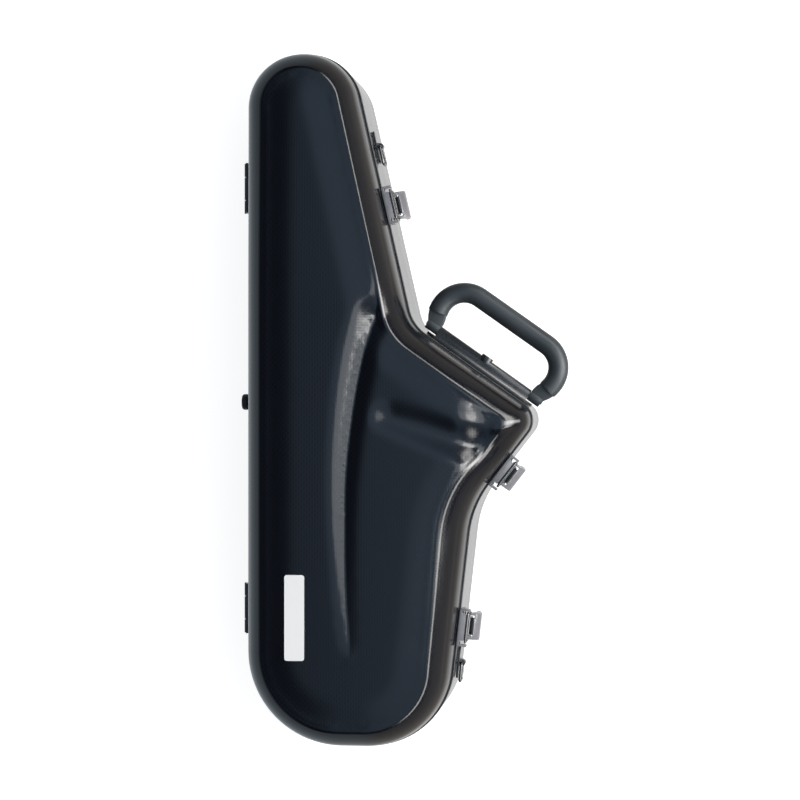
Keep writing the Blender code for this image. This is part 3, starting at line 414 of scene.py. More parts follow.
def shell_material():
    """Glossy black skin with a fine woven relief that follows the shell."""
    material, tree, shader, place = finish_material("woven_black_shell", (0.0040, 0.0051, 0.0083), 0.17)
    cloth = tree.nodes.new("ShaderNodeUVMap")
    cloth.uv_map = "cloth"
    weave = placed_group(tree, weave_group, cloth.outputs["UV"], Threads_per_metre=400.0)
    grain = placed_group(tree, grain_group, place, Grain_per_metre=900.0, Marks_per_metre=9.0)
    tone = sums(tree, "MULTIPLY_ADD", weave.outputs["Thread"], 0.4, 0.3)
    skin = blended(tree, tone, (0.0028, 0.0036, 0.0062), (0.0052, 0.0066, 0.0104))
    plug(tree, shader.inputs["Base Color"], skin)
    rough = sums(tree, "MULTIPLY_ADD", weave.outputs["Thread"], 0.03, 0.15)
    plug(tree, shader.inputs["Roughness"], sums(tree, "MULTIPLY_ADD", grain.outputs["Marks"], 0.03, rough))
    under = bumped(tree, shader, grain.outputs["Height"], 0.000003)
    bumped(tree, shader, weave.outputs["Height"], 0.000020, 0.8, under)
    return material


def moulded_material(name, dark, light, roughness, grain_rate, depth, sockets=()):
    """Grained plastic, paint or rubber: two close tones, marks in the gloss and a fine relief."""
    material, tree, shader, place = finish_material(name, dark, roughness, sockets)
    grain = placed_group(tree, grain_group, place, Grain_per_metre=grain_rate, Marks_per_metre=30.0)
    marks = grain.outputs["Marks"]
    plug(tree, shader.inputs["Base Color"], blended(tree, marks, dark, light))
    plug(tree, shader.inputs["Roughness"], ranged(tree, marks, 0.0, 1.0, roughness - 0.05, roughness + 0.08))
    bumped(tree, shader, grain.outputs["Height"], depth)
    return material


def plush_material():
    """Short-pile plush over foam, brushed in patches."""
    material, tree, shader, place = finish_material(
        "charcoal_plush", (0.03, 0.032, 0.038), 0.95,
        (("Sheen Weight", 0.6), ("Sheen Roughness", 0.45), ("Sheen Tint", (0.55, 0.58, 0.65, 1))),
    )
    pile = noise_value(tree, place, 2600.0, 2.0, 0.6)
    brushed = noise_value(tree, place, 42.0, 4.0, 0.6)
    mixed = sums(tree, "MULTIPLY_ADD", pile, 0.5, product(tree, brushed, 0.6))
    nap = blended(tree, mixed, (0.016, 0.018, 0.022), (0.055, 0.058, 0.068))
    plug(tree, shader.inputs["Base Color"], nap)
    under = bumped(tree, shader, brushed, 0.0006)
    bumped(tree, shader, pile, 0.0004, 1.0, under)
    return material


def plate_material():
    """Plain white satin plate with a trace of grain."""
    material, tree, shader, place = finish_material("white_plate", (0.93, 0.93, 0.935), 0.42)
    grain = placed_group(tree, grain_group, place, Grain_per_metre=2200.0, Marks_per_metre=22.0)
    paint = blended(tree, grain.outputs["Marks"], (0.925, 0.925, 0.935), (0.94, 0.94, 0.94))
    plug(tree, shader.inputs["Base Color"], paint)
    bumped(tree, shader, grain.outputs["Height"], 0.00001)
    return material


shell_finish = shell_material()
rim_finish = moulded_material(
    "black_rim", (0.012, 0.0125, 0.014), (0.018, 0.019, 0.021), 0.3, 1500.0, 0.00003
)
hardware_finish = moulded_material(
    "black_hardware", (0.016, 0.017, 0.019), (0.024, 0.026, 0.028), 0.26, 1200.0, 0.00002,
    (("Coat Weight", 0.4), ("Coat Roughness", 0.15)),
)
steel_finish = moulded_material(
    "dark_steel", (0.10, 0.10, 0.10), (0.16, 0.16, 0.16), 0.28, 900.0, 0.00001, (("Metallic", 1.0),)
)
gunmetal_finish = moulded_material(
    "gunmetal", (0.17, 0.17, 0.185), (0.23, 0.23, 0.245), 0.34, 700.0, 0.00001, (("Coat Weight", 0.3),)
)
grip_finish = moulded_material(
    "slate_grip", (0.026, 0.033, 0.039), (0.034, 0.042, 0.048), 0.46, 1100.0, 0.00006
)
tab_finish = moulded_material(
    "slate_tab", (0.030, 0.037, 0.043), (0.037, 0.045, 0.051), 0.5, 900.0, 0.00003
)
rubber_finish = moulded_material(
    "black_rubber", (0.014, 0.014, 0.015), (0.024, 0.024, 0.025), 0.6, 1000.0, 0.00006
)
plush_finish = plush_material()
plate_finish = plate_material()


# Piece building blocks. An edge is sharp above a smooth angle and rounded above a bevel angle, in degrees
rim_smooth = 35
part_smooth = 40
shell_smooth = 50
tube_smooth = 60
pad_smooth = 180
carried_bevel = 28
part_bevel = 40
grip_bevel = 50
corner_cut_share = 0.25
least_run = 1e-12


def only(piece):
    bpy.ops.object.select_all(action="DESELECT")
    piece.select_set(True)
    bpy.context.view_layer.objects.active = piece


def settle(piece, material, body, slot, *nodes):
    """Gives a finished piece its material and its body, and hides the CAD nodes that it stands for. Its slot
    is not used.
    """
    piece.data.materials.clear()
    piece.data.materials.append(material)
    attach(piece, body)
    if nodes:
        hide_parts(*nodes)
    return piece


def apply_modifier(piece, kind, **settings):
    only(piece)
    modifier = piece.modifiers.new(kind.title(), kind)
    for label, value in settings.items():
        setattr(modifier, label, value)
    bpy.ops.object.modifier_apply(modifier=modifier.name)


def round_edges(piece, radius, segments, degrees):
    limit = math.radians(degrees)
    apply_modifier(piece, "BEVEL", width=radius, segments=segments, limit_method="ANGLE", angle_limit=limit)


def shade(piece, degrees=part_smooth):
    only(piece)
    bpy.ops.object.shade_smooth_by_angle(angle=math.radians(degrees))


def new_piece(name, bm):
    mesh = bpy.data.meshes.new(name)
    bm.to_mesh(mesh)
    bm.free()
    piece = bpy.data.objects.new(name, mesh)
    bpy.context.scene.collection.objects.link(piece)
    return piece


def band(bm, lower, upper):
    """Faces between two closed rings of vertices."""
    ahead = zip(lower[1:] + lower[:1], upper[1:] + upper[:1])
    return [bm.faces.new((a, b, c, d)) for a, d, (b, c) in zip(lower, upper, ahead)]


def corner_cut(points, rounds):
    """The same line with its corners cut, its ends kept."""
    points = [np.array(p, float) for p in points]
    far, near = corner_cut_share, 1 - corner_cut_share
    for _ in range(rounds):
        cut = [points[0]]
        for a, b in zip(points, points[1:]):
            cut += [a * near + b * far, a * far + b * near]
        cut.append(points[-1])
        points = cut
    return points


def inside_ring(ring, points, clearance):
    """Which points lie inside a ring and at least clearance from it."""
    ahead = np.roll(ring, -1, axis=0)
    crossings = np.zeros(len(points), int)
    near = np.full(len(points), np.inf)
    for (ax, ay), (bx, by) in zip(ring, ahead):
        straddles = (ay > points[:, 1]) != (by > points[:, 1])
        rise = by - ay if by != ay else 1.0
        crossings += straddles & (points[:, 0] < ax + (points[:, 1] - ay) * (bx - ax) / rise)
        run = np.array((bx - ax, by - ay))
        share = np.clip(((points - (ax, ay)) @ run) / max(run @ run, least_run), 0, 1)
        near = np.minimum(near, np.hypot(*(points - (ax, ay) - share[:, None] * run).T))
    return (crossings % 2 == 1) & (near > clearance)


def wall_reach(crest):
    """How wide the curved wall is at each point of the crest, as a share of its plain width."""
    x, y = (np.array([p[k] for p in crest]) for k in (0, 1))
    widening = np.interp(y, wall_width_y, wall_width_share) - 1
    return 1 + widening * smooth((x - right_side_from) / right_side_run)


def wall_rows():
    """(share of the way in, share of the way up) of the curved wall's rings, from the crest down."""
    rows = [(1.0, 1.0)]
    for row in reversed(corner_cut(wall_profile_shares, profile_rounds)):
        if rows[-1][0] - row[0] > crest_row_share or row[0] == 0:
            rows.append(row)
    return rows


def top_heights(points, drop):
    return base_depth + lid_top([p.x for p in points], [p.y for p in points]) - drop


def top_points(ring, spacing):
    """Plan points across the top: its ring, lines along the groove's crease, and a staggered grid."""
    y = np.arange(
        crease_shares[-1][0] * case_length, crease_shares[0][0] * case_length, spacing * crease_pitch_share
    )
    crease, _ = crease_place(y)
    lines = np.array([(x + offset, v) for offset in crease_lines for x, v in zip(crease, y)])
    lines = lines[inside_ring(ring, lines, line_clearance)]
    columns = np.arange(-case_width / 2, case_width / 2, spacing)
    rows = np.arange(-case_length / 2, case_length / 2, spacing * row_pitch_share)
    grid = np.array([(a + (k % 2) * spacing / 2, b) for k, b in enumerate(rows) for a in columns])
    grid = grid[inside_ring(ring, grid, grid_clearance)]
    offset = grid[:, 0] - crease_place(grid[:, 1])[0]
    on_groove = (grid[:, 1] > y[0]) & (grid[:, 1] < y[-1]) & (np.abs(offset) < crease_band)
    return np.concatenate([ring, lines, grid[~on_groove]])


def fill_top(bm, brim, brim_vertices, maps, drop, spacing):
    """Triangles across the top, inside the ring of brim points and their vertices."""
    points = top_points(np.array([tuple(p) for p in brim]), spacing)
    flat, _, faces, origins, _, _ = delaunay_2d_cdt(
        [Vector(p) for p in points], [], [list(range(len(brim)))], 1, merge_distance
    )
    made = []
    for place, height, origin in zip(flat, top_heights(flat, drop), origins):
        on_ring = [k for k in origin if k < len(brim)]
        if on_ring:
            made.append(brim_vertices[on_ring[0]])
        else:
            made.append(bm.verts.new((*place, height)))
            maps[made[-1]] = tuple(place)
    for face in faces:
        corners = [made[k] for k in face]
        if len(set(corners)) == 3:
            bm.faces.new(corners)


def ease_crest(bm, kept):
    """Gives the crest and the groove's crease their moulded radius."""
    kept = set(kept)
    level = base_depth + eased_height_share * (lid_height - neck_fall)
    eased = [v for v in bm.verts if not v.is_boundary and v not in kept and v.co.z > level]
    for _ in range(crest_rounds):
        bmesh.ops.smooth_vert(bm, verts=eased, factor=0.5, use_axis_z=True)


def contour_sheet(name, inset, drop, edge, spacing, ledge=0.0):
    """The lid's form as one open sheet, moved in by inset and down by drop, with its cloth map.

    Its lower edge stands in by ledge, and its crest stays where it is.
    """
    bm = bmesh.new()
    cloth = bm.loops.layers.uv.new("cloth")
    outer = rounded_outline(outline_shares, inset + ledge)
    reach = wall_reach(rounded_outline(outline_shares, crest_inset + inset))

    def ring_at(depth):
        ring = rounded_outline(outline_shares, depth)
        return [a.lerp(b, share) for a, b, share in zip(outer, ring, reach)]

    crest = ring_at(crest_inset + inset)
    rise = top_heights(crest, drop) - base_depth - edge
    outward = [(a - b).normalized() for a, b in zip(outer, crest)]
    run = np.zeros(len(crest))
    maps = {}
    rings = []
    for in_share, up_share in wall_rows():
        ring = ring_at(ledge + (crest_inset - ledge) * in_share + inset)
        made = [bm.verts.new((p.x, p.y, z)) for p, z in zip(ring, base_depth + edge + rise * up_share)]
        if rings:
            run = run + [(a.co - b.co).length for a, b in zip(made, rings[-1])]
        for vertex, place, way, length in zip(made, crest, outward, run):
            maps[vertex] = (place + way * length).to_tuple()
        rings.append(made)
    for step in crest_steps:
        brim = ring_at(crest_inset + inset + step)
        rings.insert(0, [bm.verts.new((p.x, p.y, z)) for p, z in zip(brim, top_heights(brim, drop))])
        for vertex, place in zip(rings[0], brim):
            maps[vertex] = tuple(place)
    for upper, lower in zip(rings, rings[1:]):
        band(bm, lower, upper)
    fill_top(bm, brim, rings[0], maps, drop, spacing)
    ease_crest(bm, rings[-1] + rings[-2])
    for face in bm.faces:
        for loop in face.loops:
            loop[cloth].uv = maps[loop.vert]
    bmesh.ops.recalc_face_normals(bm, faces=bm.faces)
    if sum(face.normal.z * face.calc_area() for face in bm.faces) < 0:
        bmesh.ops.reverse_faces(bm, faces=bm.faces)
    return new_piece(name, bm)


def swept_rim(name, section):
    """Closed profile run round the seam. Its section is (inset, height above the seam)."""
    bm = bmesh.new()
    rings = []
    for inset, height in section:
        ring = rounded_outline(outline_shares, inset)
        rings.append([bm.verts.new((p.x, p.y, base_depth + height)) for p in ring])
    for i, ring in enumerate(rings):
        band(bm, ring, rings[(i + 1) % len(rings)])
    bmesh.ops.recalc_face_normals(bm, faces=bm.faces)
    return new_piece(name, bm)


def make_lid_shell():
    lid = contour_sheet("lid_contour", 0.0, 0.0, lid_rim_height + gap, top_spacing, seam_ledge)
    apply_modifier(lid, "SOLIDIFY", thickness=wall, offset=-1)
    shade(lid, shell_smooth)
    settle(lid, shell_finish, "lid", "shell", "lid_shell")


def tub_rows(top):
    """(inset, height) of the tub's rings, from the floor up: a rounded foot, then the drafted wall."""
    rows = []
    for angle in np.linspace(0, math.pi / 2, base_corner_steps + 1):
        inset = base_draft + base_corner_radius * (1 - math.sin(angle))
        rows.append((inset, base_corner_radius * (1 - math.cos(angle))))
    upright = top - base_corner_radius
    return rows + [(base_draft * (1 - share), base_corner_radius + upright * share) for share in (0.5, 1.0)]


def run_lengths(points):
    """How far along a line of points each of them lies."""
    runs = [0.0]
    for a, b in zip(points, points[1:]):
        runs.append(runs[-1] + math.dist(a, b))
    return runs


def make_base_shell():
    """Deep tub, its cloth map run round the wall and across the floor."""
    bm = bmesh.new()
    cloth = bm.loops.layers.uv.new("cloth")
    rows = tub_rows(base_depth - seam_half_gap - rim_flange - gap)
    rings = []
    for inset, height in rows:
        rings.append([bm.verts.new((p.x, p.y, height)) for p in rounded_outline(outline_shares, inset)])
    outer = rounded_outline(outline_shares)
    run = run_lengths(outer + outer[:1])
    climb = run_lengths(rows)
    for level, (lower, upper) in enumerate(zip(rings, rings[1:])):
        low, high = climb[level:level + 2]
        for face, left, right in zip(band(bm, lower, upper), run, run[1:]):
            for loop, uv in zip(face.loops, ((left, low), (right, low), (right, high), (left, high))):
                loop[cloth].uv = uv
    floor = bm.faces.new(rings[0])
    for loop in floor.loops:
        loop[cloth].uv = loop.vert.co.xy
    bmesh.ops.recalc_face_normals(bm, faces=bm.faces)
    tub = new_piece("base_tub", bm)
    apply_modifier(tub, "SOLIDIFY", thickness=wall, offset=-1)
    shade(tub, shell_smooth)
    settle(tub, shell_finish, "base", "shell", "base_shell")


def make_rims():
    for name, section, material, body, slot, node in (
        ("base_rim_profile", base_rim_section, rim_finish, "base", "rim", "base_rim"),
        ("lid_rim_profile", lid_rim_section, rim_finish, "lid", "rim", "lid_rim"),
        ("gasket_bead", gasket_section, rubber_finish, "base", "rubber", "seam_gasket"),
    ):
        rim = swept_rim(name, section)
        shade(rim, rim_smooth)
        settle(rim, material, body, slot, node)


# Edge radii of the pieces carried over from the frame
fine_edge = 0.0003
small_edge = 0.0004
plain_edge = 0.0006
lever_edge = 0.0008
tube_levels = 2
same_place = 0.00001


def carried(node, name, material, body, slot, edge_radius=0.0, levels=0):
    """A copy of a CAD node with its corners merged and its flat faces joined.

    Its edges are then rounded by edge_radius, or its tube is smoothed by levels of subdivision.
    """
    source = frame["nodes"][node]
    piece = source.copy()
    piece.data = source.data.copy()
    piece.name = name
    piece.data.name = name
    piece.parent = None
    for label in list(piece.keys()):
        del piece[label]
    bpy.context.scene.collection.objects.link(piece)
    only(piece)
    bpy.ops.object.mode_set(mode="EDIT")
    bpy.ops.mesh.select_all(action="SELECT")
    bpy.ops.mesh.remove_doubles(threshold=same_place)
    if levels:
        bpy.ops.mesh.tris_convert_to_quads()
    else:
        bpy.ops.mesh.dissolve_limited(angle_limit=math.radians(1))
    bpy.ops.mesh.customdata_custom_splitnormals_clear()
    bpy.ops.object.mode_set(mode="OBJECT")
    if levels:
        apply_modifier(piece, "SUBSURF", levels=levels, render_levels=levels)
        shade(piece, tube_smooth)
    elif edge_radius:
        round_edges(piece, edge_radius, 2, carried_bevel)
        shade(piece)
    return settle(piece, material, body, slot, node)


def make_carried_hardware():
    for number in (1, 2, 3):
        node, lever, bail = f"latch_{number}_", f"lever_{number}", f"bail_{number}"
        for part, name, material, body, edge in (
            ("keeper", "catch", gunmetal_finish, "lid", plain_edge),
            ("bracket", "latch_base", hardware_finish, "base", small_edge),
            ("lever", "latch_lever", gunmetal_finish, lever, lever_edge),
        ):
            carried(node + part, f"{name}_{number}", material, body, "hardware", edge)
        carried(node + "bail", f"latch_bail_{number}", steel_finish, bail, "steel", levels=tube_levels)
    for number in (1, 2):
        ring, hinge = f"ring_{number}", f"hinge_{number}"
        carried(f"strap_lug_{number}", f"lug_body_{number}", hardware_finish, "base", "hardware", plain_edge)
        carried(f"strap_{ring}", f"lug_{ring}", steel_finish, ring, "steel", levels=tube_levels)
        for side in ("lid", "base"):
            name = f"{side}_hinge_leaf_{number}"
            carried(f"{hinge}_{side}_leaf", name, hardware_finish, side, "hardware", fine_edge)
    carried("handle_bracket", "handle_mount", hardware_finish, "base", "hardware", plain_edge)
    carried("handle_frame", "handle_bow", tab_finish, "handle", "steel", plain_edge)
    carried("side_foot", "hinge_side_foot", rubber_finish, "base", "rubber", small_edge)
    pins = ("handle_rod", "hinge_1_pin", "hinge_2_pin", "latch_1_pin", "latch_2_pin", "latch_3_pin")
    for node, material in [(pin, steel_finish) for pin in pins] + [("badge_plate", plate_finish)]:
        slots = frame["nodes"][node].data.materials
        slots.clear()
        slots.append(material)


def joint_frame(name, out_first):
    """Map to the case's axes from a joint's own: (out, up, along) if out comes first, or (along, out, up)."""
    place, axis = Vector(joints[name]["pos_m"]), Vector(joints[name]["axis"])
    out, up = Vector((-axis.y, axis.x, 0)), Vector((0, 0, 1))
    turn = Matrix((out, up, -axis) if out_first else (axis, out, up)).transposed()
    return Matrix.Translation(place) @ turn.to_4x4()


# Handle, in its own frame: X along the handle edge, Y out of the wall, Z up from its axis
handle_place = joint_frame("handle_fold", False)
arc_middle = (0.0385, 0.0213)
arc_radius = 0.0260
grip_dip = math.radians(12)
grip_end_run = 0.0030
grip_radius = 0.0095
grip_end_radius = 0.0042
grip_sides = 32
bend_steps = 18
tab_depth = 0.0094
tab_half_widths = (0.0089, 0.0080)
tab_dips = (math.radians(5), math.radians(34))
tab_end = (0.0603, 0.0056)
tab_edge = 0.0012
tab_side_points = 8
tab_end_steps = 12


def make_grip():
    """Soft grip: a ring run along one arm, spun round its bend, run across, spun again and run down."""
    across, out = arc_middle
    down = Vector((math.sin(grip_dip), -math.cos(grip_dip), 0))
    first = Vector((-across - arc_radius * math.cos(grip_dip), out - arc_radius * math.sin(grip_dip), 0))
    bpy.ops.object.select_all(action="DESELECT")
    bpy.ops.mesh.primitive_circle_add(
        vertices=grip_sides, radius=grip_radius, location=first + down * grip_end_run,
        rotation=(math.pi / 2, 0, grip_dip),
    )
    grip = bpy.context.active_object
    grip.name = "handle_sleeve"
    bpy.ops.object.transform_apply(location=True, rotation=True, scale=True)
    bpy.ops.object.mode_set(mode="EDIT")
    bpy.ops.mesh.select_all(action="SELECT")
    bpy.ops.mesh.extrude_region_move(TRANSFORM_OT_translate={"value": -down * grip_end_run})
    bend = math.pi / 2 + grip_dip
    bpy.ops.mesh.spin(steps=bend_steps, angle=bend, center=(-across, out, 0), axis=(0, 0, 1))
    bpy.ops.mesh.extrude_region_move(TRANSFORM_OT_translate={"value": (2 * across, 0, 0)})
    bpy.ops.mesh.spin(steps=bend_steps, angle=bend, center=(across, out, 0), axis=(0, 0, 1))
    last = Vector((-down.x, down.y, 0)) * grip_end_run
    bpy.ops.mesh.extrude_region_move(TRANSFORM_OT_translate={"value": last})
    bpy.ops.mesh.select_all(action="SELECT")
    bpy.ops.mesh.remove_doubles(threshold=same_place)
    bpy.ops.mesh.select_all(action="DESELECT")
    bpy.ops.mesh.select_mode(type="EDGE")
    bpy.ops.mesh.select_non_manifold()
    bpy.ops.mesh.fill()
    bpy.ops.mesh.select_all(action="SELECT")
    bpy.ops.mesh.normals_make_consistent(inside=False)
    bpy.ops.object.mode_set(mode="OBJECT")
    grip.data.transform(handle_place)
    round_edges(grip, grip_end_radius, 5, grip_bevel)
    shade(grip, shell_smooth)
    settle(grip, grip_finish, "handle", "grip", "handle_grip")


def bar_piece(name, outline, low, high, place, edge_radius):
    """Closed solid of one outline, run from low to high along the third axis, and put where place maps it."""
    bm = bmesh.new()
    rings = [[bm.verts.new(place @ Vector((a, b, c))) for a, b in outline] for c in (low, high)]
    band(bm, *rings)
    for ring in rings:
        bm.faces.new(ring)
    bmesh.ops.recalc_face_normals(bm, faces=bm.faces)
    piece = new_piece(name, bm)
    round_edges(piece, edge_radius, 3, part_bevel)
    shade(piece)
    return piece


def make_handle_tabs():
    """Flat, round-ended tab of each arm, from under the grip's end to the pivot."""
    across, out = arc_middle
    inner, outer, end = [], [], []
    for share in np.linspace(0, 1, tab_side_points):
        dip, half = (pair[0] + (pair[1] - pair[0]) * share for pair in (tab_dips, tab_half_widths))
        for line, radius in ((inner, arc_radius - half), (outer, arc_radius + half)):
            line.append((across + radius * math.cos(dip), out - radius * math.sin(dip)))
    for k in range(1, tab_end_steps):
        angle = -dip - math.pi * k / tab_end_steps
        end.append((tab_end[0] + half * math.cos(angle), tab_end[1] + half * math.sin(angle)))
    for side, word in ((-1, "left"), (1, "right")):
        outline = [(side * a, b) for a, b in outer + end + inner[::-1]]
        tab = bar_piece(f"handle_tab_{word}", outline, -tab_depth / 2, tab_depth / 2, handle_place, tab_edge)
        settle(tab, tab_finish, "handle", "steel")


# Latch levers and screws, in each latch's frame: X out of the wall, Y up, Z along the wall.
# A pair of screws lies at (out, up, half its gap), and a head's steps are (lift, scale) by its radius
latch_places = [joint_frame(f"latch_{number}_lever_turn", True) for number in (1, 2, 3)]
pivot_out = 0.0080
cap_half_width = 0.0081
cap_edge = 0.0003
cap_outline = (
    (0.0036, 0.0006), (0.0036, 0.0024), (0.0044, 0.0032), (0.0052, 0.0034), (0.0060, 0.0029),
    (0.0067, 0.0019), (0.0080, 0.0006), (0.0092, -0.0012), (0.0084, -0.0026), (0.0062, -0.0006),
)
web_edge = 0.0002
web_outline = ((-0.0014, -0.0019), (0.0056, -0.0019), (0.0056, -0.0030), (-0.0014, -0.0030))
small_screw_radius = 0.0016
large_screw_radius = 0.0026
screw_sides = 24
screw_steps = ((0.20, 1.0), (0.16, 0.86), (0.06, 0.66), (0.0, 0.80), (-0.26, 0.86))
keeper_screw = (0.0026, 0.0184, 0.0148)
bracket_screw = (0.0020, -0.0190, 0.0100)
plate_screw_x = (-0.046, -0.016, 0.016, 0.046)
plate_screw_out = -0.0066
plate_screw_up = -0.0105


def make_lever_caps():
    for number, place in enumerate(latch_places, 1):
        for name, outline, edge, material in (
            ("lever_cap", cap_outline, cap_edge, gunmetal_finish),
            ("lever_web", web_outline, web_edge, hardware_finish),
        ):
            piece = bar_piece(f"{name}_{number}", outline, -cap_half_width, cap_half_width, place, edge)
            settle(piece, material, f"lever_{number}", "hardware")


def screw_head(radius):
    """Pan head with a round recess, facing +Z."""
    bpy.ops.object.select_all(action="DESELECT")
    bpy.ops.mesh.primitive_circle_add(vertices=screw_sides, radius=radius, fill_type="NGON")
    head = bpy.context.active_object
    bpy.ops.object.mode_set(mode="EDIT")
    bpy.ops.mesh.select_all(action="SELECT")
    for lift, share in screw_steps:
        bpy.ops.mesh.extrude_region_move(TRANSFORM_OT_translate={"value": (0, 0, radius * lift)})
        bpy.ops.transform.resize(value=(share, share, 1))
    bpy.ops.object.mode_set(mode="OBJECT")
    return head


def placed_heads(name, head, places, facing, material, body, slot):
    """One piece of several copies of a head, all facing one way."""
    bm = bmesh.new()
    turn = facing.to_track_quat("Z", "Y").to_matrix().to_4x4()
    for place in places:
        mesh = head.data.copy()
        mesh.transform(Matrix.Translation(place) @ turn)
        bm.from_mesh(mesh)
        bpy.data.meshes.remove(mesh)
    bmesh.ops.recalc_face_normals(bm, faces=bm.faces)
    piece = new_piece(name, bm)
    shade(piece)
    settle(piece, material, body, slot)


def make_screws():
    small, large = screw_head(small_screw_radius), screw_head(large_screw_radius)
    for number, place in enumerate(latch_places, 1):
        facing = place.to_3x3() @ Vector((1, 0, 0))
        on_wall = place @ Matrix.Translation((-pivot_out, 0, 0))
        for name, screw, material, body, slot in (
            ("catch_screws", keeper_screw, hardware_finish, "lid", "hardware"),
            ("latch_base_screws", bracket_screw, steel_finish, "base", "steel"),
        ):
            out, up, half_gap = screw
            pair = [on_wall @ Vector((out, up, side * half_gap)) for side in (-1, 1)]
            placed_heads(f"{name}_{number}", small, pair, facing, material, body, slot)
    facing = handle_place.to_3x3() @ Vector((0, 1, 0))
    row = [handle_place @ Vector((x, plate_screw_out, plate_screw_up)) for x in plate_screw_x]
    placed_heads("handle_mount_screws", large, row, facing, steel_finish, "base", "steel")
    for piece in (small, large):
        bpy.data.objects.remove(piece)


# Plush covers: noise per metre and its shares, which leave the cover's face a little inside the block's
pad_voxel = 0.0030
pad_smoothing = 0.6
broad_ripple_rate = 38
fine_ripple_rate = 130
fine_ripple_share = 0.35
ripple_sink = 0.8
sheet_share = 0.9


def padded_surface(piece, rounds, ripple):
    """Turns a hard block into a covered pad: remeshed, its edges eased, its face gently uneven."""
    apply_modifier(piece, "REMESH", mode="VOXEL", voxel_size=pad_voxel)
    apply_modifier(piece, "SMOOTH", factor=pad_smoothing, iterations=rounds)
    places = np.empty((len(piece.data.vertices), 3), np.float32)
    ways = np.empty_like(places)
    piece.data.vertices.foreach_get("co", places.reshape(-1))
    piece.data.vertices.foreach_get("normal", ways.reshape(-1))
    lifts = []
    for place in places:
        broad, fine = (noise.noise(Vector(place) * rate) for rate in (broad_ripple_rate, fine_ripple_rate))
        lifts.append(broad + fine * fine_ripple_share - ripple_sink)
    places += ways * np.array(lifts, np.float32)[:, None] * ripple
    piece.data.vertices.foreach_set("co", places.reshape(-1))
    piece.data.update()
    shade(piece, pad_smooth)


def make_base_liner():
    """The frame's foam block, covered in plush: its edges eased and its surface gently uneven."""
    liner = carried("base_liner", "plush_base_liner", plush_finish, "base", "liner")
    padded_surface(liner, rounds=8, ripple=0.0005)


def make_lid_liner():
    """Plush sheet that follows the inside of the lid's form."""
    liner = contour_sheet("plush_lid_liner", lid_liner_inset, lid_liner_drop, lid_liner_level, liner_spacing)
    apply_modifier(liner, "SOLIDIFY", thickness=lid_liner_thickness * sheet_share, offset=-1)
    padded_surface(liner, rounds=4, ripple=0.0004)
    settle(liner, plush_finish, "lid", "liner", "lid_liner")


# Stage. A ramp is (start, end, value before, value after) along a length, a place or a direction
floor_size = 30
floor_drop = 0.0005
floor_tone = (0.8, 0.8, 0.8)
floor_roughness = 0.9
floor_glow = 0.72
floor_far = (0.13, 0.18, 0.0, 1.0)
floor_rightward = (-0.15, 0.05, 0.0, 1.0)
floor_left_tone = (0.46, 0.53, 0.58)
floor_right_tone = (0.42, 0.38, 0.34)
panel_across = (-0.167, -0.102, 0.15, 0.85)
panel_along = (-0.02, 0.12, 0.0, 0.08)
panel_left_end = (-0.31, -0.18, 0.0, 1.0)
panel_height = (0.55, 0.95, 0.10, 1.0)
window_foot = (0.24, 0.34, 0.0, 1.0)
window_head = (0.54, 0.62, 1.0, 0.0)
window_side = (0.30, 0.50, 0.0, 9.0)
glow_height = (0.10, 0.85, 0.6, 0.0)
glow_side = (-0.75, -0.40, 1.0, 0.0)
even_tone = (0.94, 0.97, 1.0)
even_strength = 0.45
panel_tone = (0.56, 0.76, 1.0)
window_tone = (1.0, 0.98, 0.95)
lamp_target = (0, 0, 0.1)
# Name, place, width, length, power and colour
lamps = (
    ("broad_right", (1.97, 0.0, 2.38), 1.17, 3.2, 26, (0.97, 0.99, 1.0)),
    ("low_right", (2.70, 0.0, 1.43), 0.84, 3.2, 75, (1.0, 0.98, 0.96)),
)
camera_place = (0.273, -0.0005, 2.352)
camera_target = (0.0093, -0.0005, base_depth)
camera_lens = 108.25
camera_sensor = 36
camera_near = 0.05


def make_floor():
    """White to the eye, matt under the lamps, and dimmer with distance where the shell mirrors it."""
    bpy.ops.object.select_all(action="DESELECT")
    bpy.ops.mesh.primitive_plane_add(size=floor_size, location=(0, 0, -floor_drop))
    floor = bpy.context.active_object
    floor.name = "studio_floor"
    material = bpy.data.materials.new("studio_floor")
    material.use_nodes = True
    tree = material.node_tree
    shader = tree.nodes["Principled BSDF"]
    shader.inputs["Roughness"].default_value = floor_roughness
    shader.inputs["Specular IOR Level"].default_value = 0.0
    rays = tree.nodes.new("ShaderNodeLightPath")
    seen = sums(tree, "MAXIMUM", rays.outputs["Is Camera Ray"], rays.outputs["Is Transmission Ray"])
    mirrored = rays.outputs["Is Glossy Ray"]
    far = product(tree, ranged(tree, rays.outputs["Ray Length"], *floor_far), mirrored)
    plug(tree, shader.inputs["Base Color"], blended(tree, mirrored, floor_tone, (0.0, 0.0, 0.0)))
    place = tree.nodes.new("ShaderNodeTexCoord").outputs["Object"]
    split = tree.nodes.new("ShaderNodeSeparateXYZ")
    tree.links.new(place, split.inputs[0])
    rightward = ranged(tree, split.outputs[0], *floor_rightward)
    distant = blended(tree, rightward, floor_left_tone, floor_right_tone)
    plug(tree, shader.inputs["Emission Color"], blended(tree, far, (1.0, 1.0, 1.0), distant))
    plug(tree, shader.inputs["Emission Strength"], sums(tree, "MULTIPLY_ADD", seen, floor_glow, mirrored))
    floor.data.materials.append(material)


def background(tree, colour, strength):
    node = tree.nodes.new("ShaderNodeBackground")
    plug(tree, node.inputs["Color"], colour)
    plug(tree, node.inputs["Strength"], strength)
    return node.outputs[0]


def mixed_shader(tree, factor, first, second):
    node = tree.nodes.new("ShaderNodeMixShader")
    for socket, value in zip(node.inputs, (factor, first, second)):
        plug(tree, socket, value)
    return node.outputs[0]


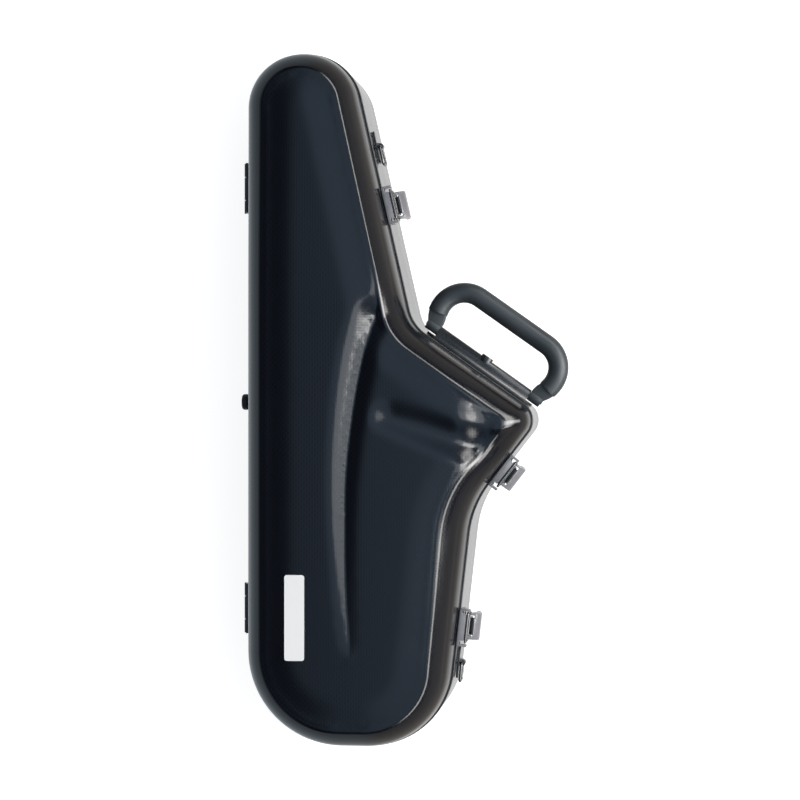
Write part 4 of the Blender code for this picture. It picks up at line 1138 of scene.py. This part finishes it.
def make_world():
    """White to the eye and even on matt surfaces. Mirrored are a ceiling panel, a window and a side glow."""
    world = bpy.data.worlds.new("studio_world")
    bpy.context.scene.world = world
    world.use_nodes = True
    tree = world.node_tree
    tree.nodes.clear()
    rays = tree.nodes.new("ShaderNodeLightPath")
    way = tree.nodes.new("ShaderNodeTexCoord").outputs["Generated"]
    split = tree.nodes.new("ShaderNodeSeparateXYZ")
    tree.links.new(way, split.inputs[0])
    x, y, z = split.outputs
    spread = sums(tree, "ADD", ranged(tree, x, *panel_across), ranged(tree, y, *panel_along))
    panel = product(tree, spread, ranged(tree, x, *panel_left_end), ranged(tree, z, *panel_height))
    window_rise = product(tree, ranged(tree, z, *window_foot), ranged(tree, z, *window_head))
    window = product(tree, window_rise, ranged(tree, x, *window_side))
    glow = product(tree, ranged(tree, z, *glow_height), ranged(tree, x, *glow_side))
    tone = blended(tree, sums(tree, "MINIMUM", window, 1.0), panel_tone, window_tone)
    mirrored = background(tree, tone, sums(tree, "ADD", sums(tree, "ADD", panel, window), glow))
    even = background(tree, (*even_tone, 1), even_strength)
    white = background(tree, (1, 1, 1, 1), 1.0)
    by_gloss = mixed_shader(tree, rays.outputs["Is Glossy Ray"], even, mirrored)
    by_eye = mixed_shader(tree, rays.outputs["Is Camera Ray"], by_gloss, white)
    tree.links.new(by_eye, tree.nodes.new("ShaderNodeOutputWorld").inputs["Surface"])


def make_lamp(name, place, width, length, power, colour):
    light = bpy.data.lights.new(name, "AREA")
    light.shape = "RECTANGLE"
    light.size = width
    light.size_y = length
    light.energy = power
    light.color = colour
    lamp = bpy.data.objects.new(name, light)
    bpy.context.scene.collection.objects.link(lamp)
    lamp.location = place
    lamp.rotation_euler = (Vector(lamp_target) - Vector(place)).to_track_quat("-Z", "Y").to_euler()


def make_camera():
    """Looks down at the lid from the handle side, with the neck end up."""
    data = bpy.data.cameras.new("camera")
    data.lens = camera_lens
    data.sensor_width = camera_sensor
    data.clip_start = camera_near
    camera = bpy.data.objects.new("camera", data)
    bpy.context.scene.collection.objects.link(camera)
    place = Vector(camera_place)
    look = (Vector(camera_target) - place).normalized()
    up = Vector((0, 1, 0))
    side = look.cross(up).normalized()
    up = side.cross(look)
    turn = Matrix((side, up, -look)).transposed()
    camera.matrix_world = Matrix.Translation(place) @ turn.to_4x4()
    bpy.context.scene.camera = camera


make_camera()
make_floor()
make_world()
for lamp in lamps:
    make_lamp(*lamp)
for step in (
    make_lid_shell, make_base_shell, make_rims, make_carried_hardware, make_grip, make_handle_tabs,
    make_lever_caps, make_screws, make_base_liner, make_lid_liner,
):
    step()

bpy.context.scene.view_settings.view_transform = "Standard"
bpy.context.view_layer.update()
